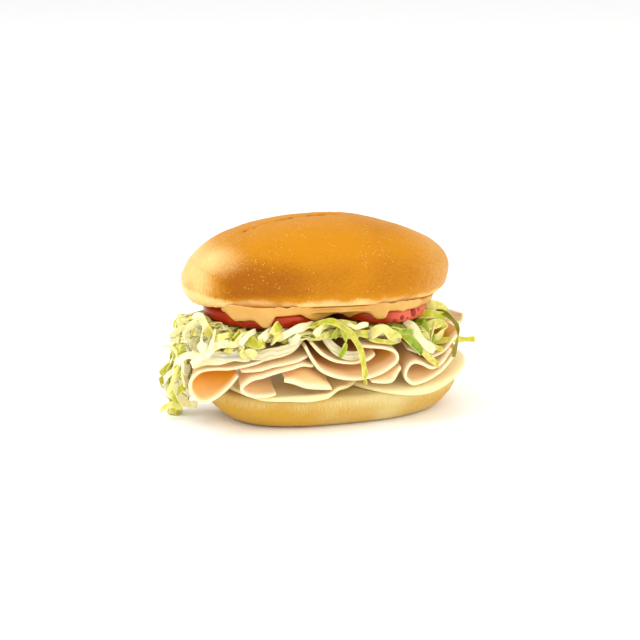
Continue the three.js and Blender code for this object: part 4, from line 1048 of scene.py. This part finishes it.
RIB_STRIPS = [
    dict(path=[(-93, -21, 41), (-91, -24, 43.6), (-88.5, -26, 45.6), (-85.5, -28, 46.2),
               (-80.5, -29, 44.6)], width=4.2, tone=(0.0, 0.06), twist=(1.1, 1.4)),
    dict(path=[(-74, -31, 60), (-75, -34.4, 59.2), (-76.1, -36.6, 56.2), (-78, -36.6, 51.8)], width=2.6,
         tone=(0.0, 0.05), twist=(1.1, 1.5)),
    dict(path=[(-43.6, -34, 58.6), (-45, -37, 58.9), (-48.5, -39, 57), (-52.4, -39.6, 55.2)], width=4.8,
         tone=(0.02, 0.08), twist=(1.2, 1.5)),
    dict(path=[(-62.6, -40.6, 54), (-60.6, -40.8, 56.6), (-57.6, -39, 58.6), (-53, -35, 59)], width=2.8,
         tone=(0.04, 0.0), twist=(1.2, 1.4)),
    dict(path=[(-42, -37, 54.4), (-38.6, -40, 56.8), (-33.6, -40.4, 59.2), (-28.4, -39, 60.2),
               (-21, -33, 59.6)], width=4, tone=(0.04, 0.1), twist=(1.2, 1.4)),
    dict(path=[(-35.5, -39, 52.4), (-33.2, -41.2, 54.2), (-30.6, -40.8, 57)], width=3.6,
         tone=(0.0, 0.06), twist=(1.3, 1.5)),
    dict(path=[(-3, -35, 59.4), (-1, -38.4, 58.8), (1.3, -40, 58), (4.3, -40, 58.9), (8.8, -36.5, 58)],
         width=2.8, tone=(0.04, 0.1), twist=(0.9, 1.4)),
    dict(path=[(32, -30, 56), (34.8, -34.5, 54), (37.3, -37.5, 49.6), (40.8, -39, 45.2),
               (46.3, -38, 40.2)], width=4.6, tone=(0.0, 0.04), twist=(1.1, 1.5)),
    dict(path=[(-85.8, -3.9, 19.6), (-84, -7.4, 18.6), (-80.9, -7.4, 17), (-76.8, -4.9, 15.5)],
         width=3.6, tone=(0.0, 0.05), twist=(1.1, 1.5)),
    dict(path=[(-87.3, -8.9, 40.6), (-87.3, -11.4, 35.6), (-87.2, -11.9, 29.6), (-86.3, -10.9, 23.6)],
         width=3.4, tone=(0.02, 0.1), twist=(1.1, 1.5)),
]


def neighbour_tree():
    """One search tree of the solids that no loose strip may cross."""
    points, faces = [], []
    for name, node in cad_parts.items():
        if name == "lettuce" or name.startswith("onion"):
            continue
        start = len(points)
        points += [vert.co.copy() for vert in node.data.vertices]
        faces += [[start + index for index in face.vertices] for face in node.data.polygons]
    return BVHTree.FromPolygons(points, faces)


def add_strip(bm, layers, path, width, tone, twist, ruffle=0.25, columns=18, rows=2, level=False):
    """One cut strip of leaf along path, in settled mm unless level; returns its vertices."""
    route = smooth_path(path, columns)
    length = sum((q - p).length for p, q in zip(route, route[1:]))
    phase = (path[0][0] * 1.7 + path[0][1] * 2.3) % math.tau
    waves = length / LETTUCE["ruffle_length"] * math.tau
    made = bmesh.ops.create_grid(bm, x_segments=columns, y_segments=rows, size=0.5)["verts"]
    tone_layer, across_layer = layers
    for vert in made:
        u, v = vert.co.x + 0.5, vert.co.y + 0.5
        i = round(u * columns)
        ahead, across = across_path(route, i, twist[0] + (twist[1] - twist[0]) * u)
        out = ahead.cross(across)
        side = 2 * v - 1
        narrow = 1 - 0.2 * abs(2 * u - 1) ** 7 + 0.14 * math.sin(waves * u * 0.7 + phase)
        cup = 0.05 * width * side * side
        frill = ruffle * abs(side) * math.sin(waves * u + phase + 1.1 * side)
        point = route[i] + across * side * width / 2 * narrow + out * (cup + frill)
        vert.co = in_frame(settled(point) if level else point)
        vert[tone_layer] = tone[0] + (tone[1] - tone[0]) * u + LETTUCE["greener_right"] * (point.x + 25)
        vert[across_layer] = abs(side)
    return made


def bare(p):
    """True where no loose strip hangs: over the folds in the front's middle, at the right end, and
    high up at the left end."""
    in_the_middle = -50 < p.x < 34 and p.y < -30 and p.z < 51
    at_right_end = p.x > 50 and p.z > 43 and p.y < 12
    high_at_left = p.x < -66 and 0.28 * p.y + 0.96 * p.z > 59
    return in_the_middle or at_right_end or high_at_left


def strip_is_clear(verts, solids):
    """True if the strip of these vertices crosses none of the neighbours and lies where it may."""
    faces = {face for vert in verts for face in vert.link_faces}
    order = {vert: i for i, vert in enumerate(verts)}
    tree = BVHTree.FromPolygons([vert.co for vert in verts],
                                [[order[vert] for vert in face.verts] for face in faces])
    places = [from_frame(vert.co) for vert in verts]
    if any(bare(p) for p in places) or min(p.z for p in places) < LETTUCE["floor_gap"]:
        return False
    return not tree.overlap(solids)


def heap_edge(angle, beyond, height):
    """A point beyond the heap's edge, in level mm, at an angle round it."""
    x, y = oval(angle, LETTUCE["half_length"], LETTUCE["half_width"], LETTUCE["squareness"])
    out = Vector((x / LETTUCE["half_length"] ** 2, y / LETTUCE["half_width"] ** 2, 0)).normalized()
    return Vector((LETTUCE["centre_x"] + x, y, height)) + out * beyond


def edge_strip(dice):
    """A strip that wanders along the heap's edge, now proud of it and now tucked in."""
    angle = dice.uniform(-math.pi, math.pi)
    step = dice.choice([-1, 1]) * dice.uniform(0.05, 0.13)
    height = dice.uniform(50, 57.5)
    path = [heap_edge(angle, -5, height)]
    for i in range(1, dice.randint(3, 5)):
        path.append(heap_edge(angle + step * i, dice.uniform(1, 6.5), height + dice.uniform(-3.2, 2.6)))
    path.append(heap_edge(angle + step * (len(path) + 0.2), -4, height + dice.uniform(-2, 2)))
    return path


def loose_end(dice):
    """A strip that comes out of the heap and droops."""
    angle = dice.uniform(-math.pi, math.pi)
    turn = dice.uniform(-0.16, 0.16)
    height = dice.uniform(50, 56.5)
    reach = dice.uniform(3.5, 9)
    drop = dice.uniform(2, 11)
    return [heap_edge(angle, -8, height), heap_edge(angle + turn * 0.4, reach * 0.5, height + 1),
            heap_edge(angle + turn * 0.8, reach * 0.9, height - drop * 0.3),
            heap_edge(angle + turn, reach, height - drop)]


def top_strip(dice):
    """A strip that lies on the heap near its rim."""
    angle = dice.uniform(-math.pi, math.pi)
    step = dice.choice([-1, 1]) * dice.uniform(0.06, 0.14)
    inward = dice.uniform(-11, -1)
    return [heap_edge(angle + step * i, inward + dice.uniform(-2.5, 2.5),
                      LETTUCE["top"] + dice.uniform(0, 2.4)) for i in range(4)]


def spill_strip(dice):
    """A strip that follows the spill down for a stretch, somewhere within or just outside it."""
    centre = smooth_path([stop[:3] for stop in SPILL], 60)
    spread = smooth_outline([stop[3:] for stop in SPILL], 60)
    run = dice.randint(7, 18)
    first = dice.randint(6, 57 - run)
    turn, drift = dice.uniform(0, math.tau), dice.uniform(-0.9, 0.9)
    far = dice.uniform(0.4, 0.92)
    path = []
    for i in range(4):
        k = first + run * i // 3
        a = turn + drift * i / 3
        middle = centre[k]
        deep, thick, _ = spread[k]
        path.append((middle.x + far * thick * math.cos(a) + dice.uniform(-1.6, 1.6),
                     middle.y + far * deep * math.sin(a) + dice.uniform(-2, 2),
                     max(2.6, middle.z + dice.uniform(-1.5, 1.5))))
    return path


def leaf_cut(draw, dice):
    """All the settings of a random leaf strip whose path draw gives."""
    path = draw(dice)
    tone = dice.choices([(0.04, 0.2), (0.14, 0.42), (0.34, 0.56), (0.58, 0.82)], [2.5, 4, 4, 4])[0]
    if dice.random() < 0.5:
        tone = tone[::-1]
    turn = dice.uniform(0.2, 1.6)
    width = dice.uniform(4, 6.5) if dice.random() < 0.2 else dice.uniform(1.3, 3.4)
    return dict(path=path, width=width, twist=(turn, turn + dice.uniform(-1.5, 1.5)), tone=tone,
                ruffle=dice.uniform(0.1, 0.5))


def rib_cut(draw, dice):
    """All the settings of a random rib strip whose path draw gives."""
    turn = dice.uniform(0.6, 1.5)
    return dict(path=draw(dice), width=dice.uniform(2, 3.6), tone=(0.0, 0.12), twist=(turn, turn + 0.3),
                ruffle=0.08, columns=12)


def cut_lettuce(name, seed, thickness, by_hand, settings, counts, cut):
    """Strips of one thickness as one piece with crisp cut edges: those given one by one, and by seeded
    chance as many of each kind as counts says.  One that isn't clear is cut again a few times."""
    dice = random.Random(seed)
    solids = neighbour_tree()
    bm = bmesh.new()
    layers = float_layers(bm, "tone", "across")
    for strip in by_hand:
        add_strip(bm, layers, **strip, **settings)
    for draw, count in counts:
        for _ in range(count):
            for _attempt in range(LETTUCE["tries"]):
                verts = add_strip(bm, layers, **cut(draw, dice), level=True)
                if strip_is_clear(verts, solids):
                    break
                bmesh.ops.delete(bm, geom=verts, context="VERTS")
    for edge in bm.edges:
        edge.smooth = not edge.is_boundary
    place_piece(bm, name, [lettuce], ["lettuce"], [
        ("SOLIDIFY", dict(thickness=thickness * MM, offset=0))])


def lettuce_core():
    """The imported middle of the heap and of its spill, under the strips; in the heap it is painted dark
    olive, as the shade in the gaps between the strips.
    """
    sides, rings = 150, 40
    section = smooth_outline([(0, 0), (0.62, 0), (0.87, 0.1), (0.94, 0.5), (0.87, 0.92), (0.6, 1),
                              (0, 1)], rings)

    def heap_place(ring, angle):
        spread, side, _ = section[ring]
        uneven = 1 + 0.03 * math.sin(7 * angle) + 0.02 * math.sin(11 * angle + 2)
        dx, y = oval(angle, LETTUCE["half_length"] * spread * uneven,
                     LETTUCE["half_width"] * spread * uneven, LETTUCE["squareness"])
        x = LETTUCE["centre_x"] + dx
        low = between_points(HEAP_UNDERSIDE, x)
        z = low + (LETTUCE["top"] - low) * side
        crumple = fractal((x, y, z), 4.5, 2)
        return in_frame(settled((x, y + 0.9 * crumple, z + 2 * crumple * side * (1 - side))))

    bm = round_bmesh(sides, rings, heap_place)
    steps = 30
    spill = smooth_path([stop[:3] for stop in SPILL[1:-1]], steps)
    depth = smooth_outline([stop[3:] for stop in SPILL[1:-1]], steps)
    spill_rings = steps + 2

    def spill_place(ring, angle):
        i = steps - min(steps, max(0, ring - 1))
        deep, thick, _ = depth[i]
        filled = 0.02 if ring in (0, spill_rings) else LETTUCE["spill_core"]
        crumple = 1 + 0.3 * fractal((spill[i].z, angle * 6, 0), 3.5, 2)
        x = spill[i].x + thick * filled * crumple * math.cos(angle)
        y = spill[i].y + deep * filled * crumple * math.sin(angle)
        return in_frame(settled((x, y, max(LETTUCE["floor_gap"], spill[i].z))))

    other = round_bmesh(60, spill_rings, spill_place)
    mesh = bpy.data.meshes.new("spill")
    other.to_mesh(mesh)
    other.free()
    bm.from_mesh(mesh)
    bpy.data.meshes.remove(mesh)
    tone, = float_layers(bm, "tone")
    for vert in bm.verts:
        # The heap's core is painted dark olive, shade between the strips; the spill's core stays
        # yellow-green.
        in_heap = smoothstep(0.03, 0.045, vert.co.z)
        vert[tone] = 0.5 + 0.85 * in_heap + 0.15 * fractal(vert.co / MM, 6, 2)
    place_piece(bm, "lettuce_core", [lettuce], ["lettuce"])


# ------------------------------------------------------------------ water beads

BEADS = [dict(x=25.1, z=57.9, size=1.1), dict(x=29.3, z=59.4, size=1.35), dict(x=36.7, z=60.7, size=2.1),
         dict(x=40.6, z=61.2, size=0.9), dict(x=32.6, z=58.6, size=0.7)]


def water_beads():
    """A few beads of water on the right tomato slice's rim."""
    right = TOMATO_SLICES[1]
    bm = bmesh.new()
    for bead in BEADS:
        reach = right["radius"] - 0.2
        y = right["y"] - math.sqrt(reach ** 2 - (bead["x"] - right["x"]) ** 2)
        out = Vector((bead["x"] - right["x"], y - right["y"], 0)).normalized()
        flat = Matrix.Diagonal((1, 0.5, 1, 1))
        turn = out.to_track_quat("-Y", "Z").to_matrix().to_4x4()
        place = Matrix.Translation(in_frame((bead["x"], y, bead["z"])))
        bmesh.ops.create_uvsphere(bm, u_segments=24, v_segments=16, radius=bead["size"] * MM,
                                  matrix=place @ turn @ flat)
    place_piece(bm, "water_beads", [water], [])


# ------------------------------------------------------------------ the whole sub

crown_piece()
heel_piece()
for cheese_slice in CHEESE_SLICES:
    cheese_piece(cheese_slice)
for meat_slice in FOLDED_SLICES:
    folded_slice(meat_slice)
for meat_slice in DRAPED_SLICES:
    draped_slice(meat_slice)
corner_slice(CORNER_SLICE)
for onion_strip in ONION_STRIPS:
    onion_piece(onion_strip)
for tomato_slice in TOMATO_SLICES:
    tomato_piece(tomato_slice)
sauce_piece()
lettuce_core()
cut_lettuce("lettuce_strips", LETTUCE["seed"], LETTUCE["leaf"], LEAF_STRIPS, dict(columns=34, rows=4),
            [(edge_strip, 230), (loose_end, 110), (top_strip, 60), (spill_strip, 100), (top_strip, 50)],
            leaf_cut)
cut_lettuce("lettuce_ribs", LETTUCE["seed"] + 1, LETTUCE["rib"], RIB_STRIPS,
            dict(ruffle=0.1, columns=24, rows=3),
            [(edge_strip, 24), (loose_end, 12), (spill_strip, 12)], rib_cut)
water_beads()


# ------------------------------------------------------------------ studio

# Azimuth 0 is in front of the sub; angles in degrees, lengths in metres.
LIGHTS = [dict(name="key", azimuth=-92, elevation=48, distance=1.2, size=0.8, watts=8, tint="#FFFFFF"),
          dict(name="front", azimuth=-6, elevation=12, distance=1.5, size=1.5, watts=7, tint="#FFF6E6"),
          dict(name="side", azimuth=50, elevation=28, distance=1.4, size=1.2, watts=7, tint="#FFF6E6"),
          dict(name="back", azimuth=170, elevation=50, distance=1.3, size=0.9, watts=1.5, tint="#FFFFFF")]
LIT_HEIGHT = 0.05
CAMERA = dict(azimuth=-16, elevation=16.5, distance=1.0, target=(-6.8, 1.95, 50.8), lens=101.2)


def aim(thing, target, azimuth, elevation, distance):
    """Puts a light or the camera at these angles and this distance from target, facing it."""
    a, e = math.radians(azimuth), math.radians(elevation)
    back = Vector((math.sin(a) * math.cos(e), -math.cos(a) * math.cos(e), math.sin(e)))
    thing.location = target + back * distance
    thing.rotation_euler = back.to_track_quat("Z", "Y").to_euler()
    bpy.context.scene.collection.objects.link(thing)


def studio_light(name, azimuth, elevation, distance, size, watts, tint):
    """A square soft box that looks at the sub and isn't seen itself."""
    data = bpy.data.lights.new(name, "AREA")
    data.size = size
    data.energy = watts
    data.color = colour(tint)[:3]
    light = bpy.data.objects.new(name, data)
    light.visible_camera = False
    aim(light, ORIGIN + Vector((0, 0, LIT_HEIGHT)), azimuth, elevation, distance)


def floor_piece():
    """A wide sheet of paper under the sub."""
    bm = bmesh.new()
    bmesh.ops.create_grid(bm, x_segments=1, y_segments=1, size=4)
    mesh = bpy.data.meshes.new("floor")
    bm.to_mesh(mesh)
    bm.free()
    mesh.materials.append(paper)
    floor = bpy.data.objects.new("floor", mesh)
    bpy.context.scene.collection.objects.link(floor)


def white_room():
    """Soft white light from all round."""
    world = bpy.data.worlds.new("white_room")
    world.use_nodes = True
    background = world.node_tree.nodes["Background"]
    background.inputs["Color"].default_value = colour("#FFFFFF")
    background.inputs["Strength"].default_value = 0.92
    bpy.context.scene.world = world


def photo_camera():
    """The photo's view: a little from the left, a little from above, with a long lens."""
    data = bpy.data.cameras.new("camera")
    data.lens = CAMERA["lens"]
    data.sensor_width = 36
    camera = bpy.data.objects.new("camera", data)
    aim(camera, in_frame(CAMERA["target"]), CAMERA["azimuth"], CAMERA["elevation"], CAMERA["distance"])
    bpy.context.scene.camera = camera


floor_piece()
white_room()
for soft_box in LIGHTS:
    studio_light(**soft_box)
photo_camera()
bpy.context.scene.view_settings.view_transform = "Standard"    # keeps the food's full colours
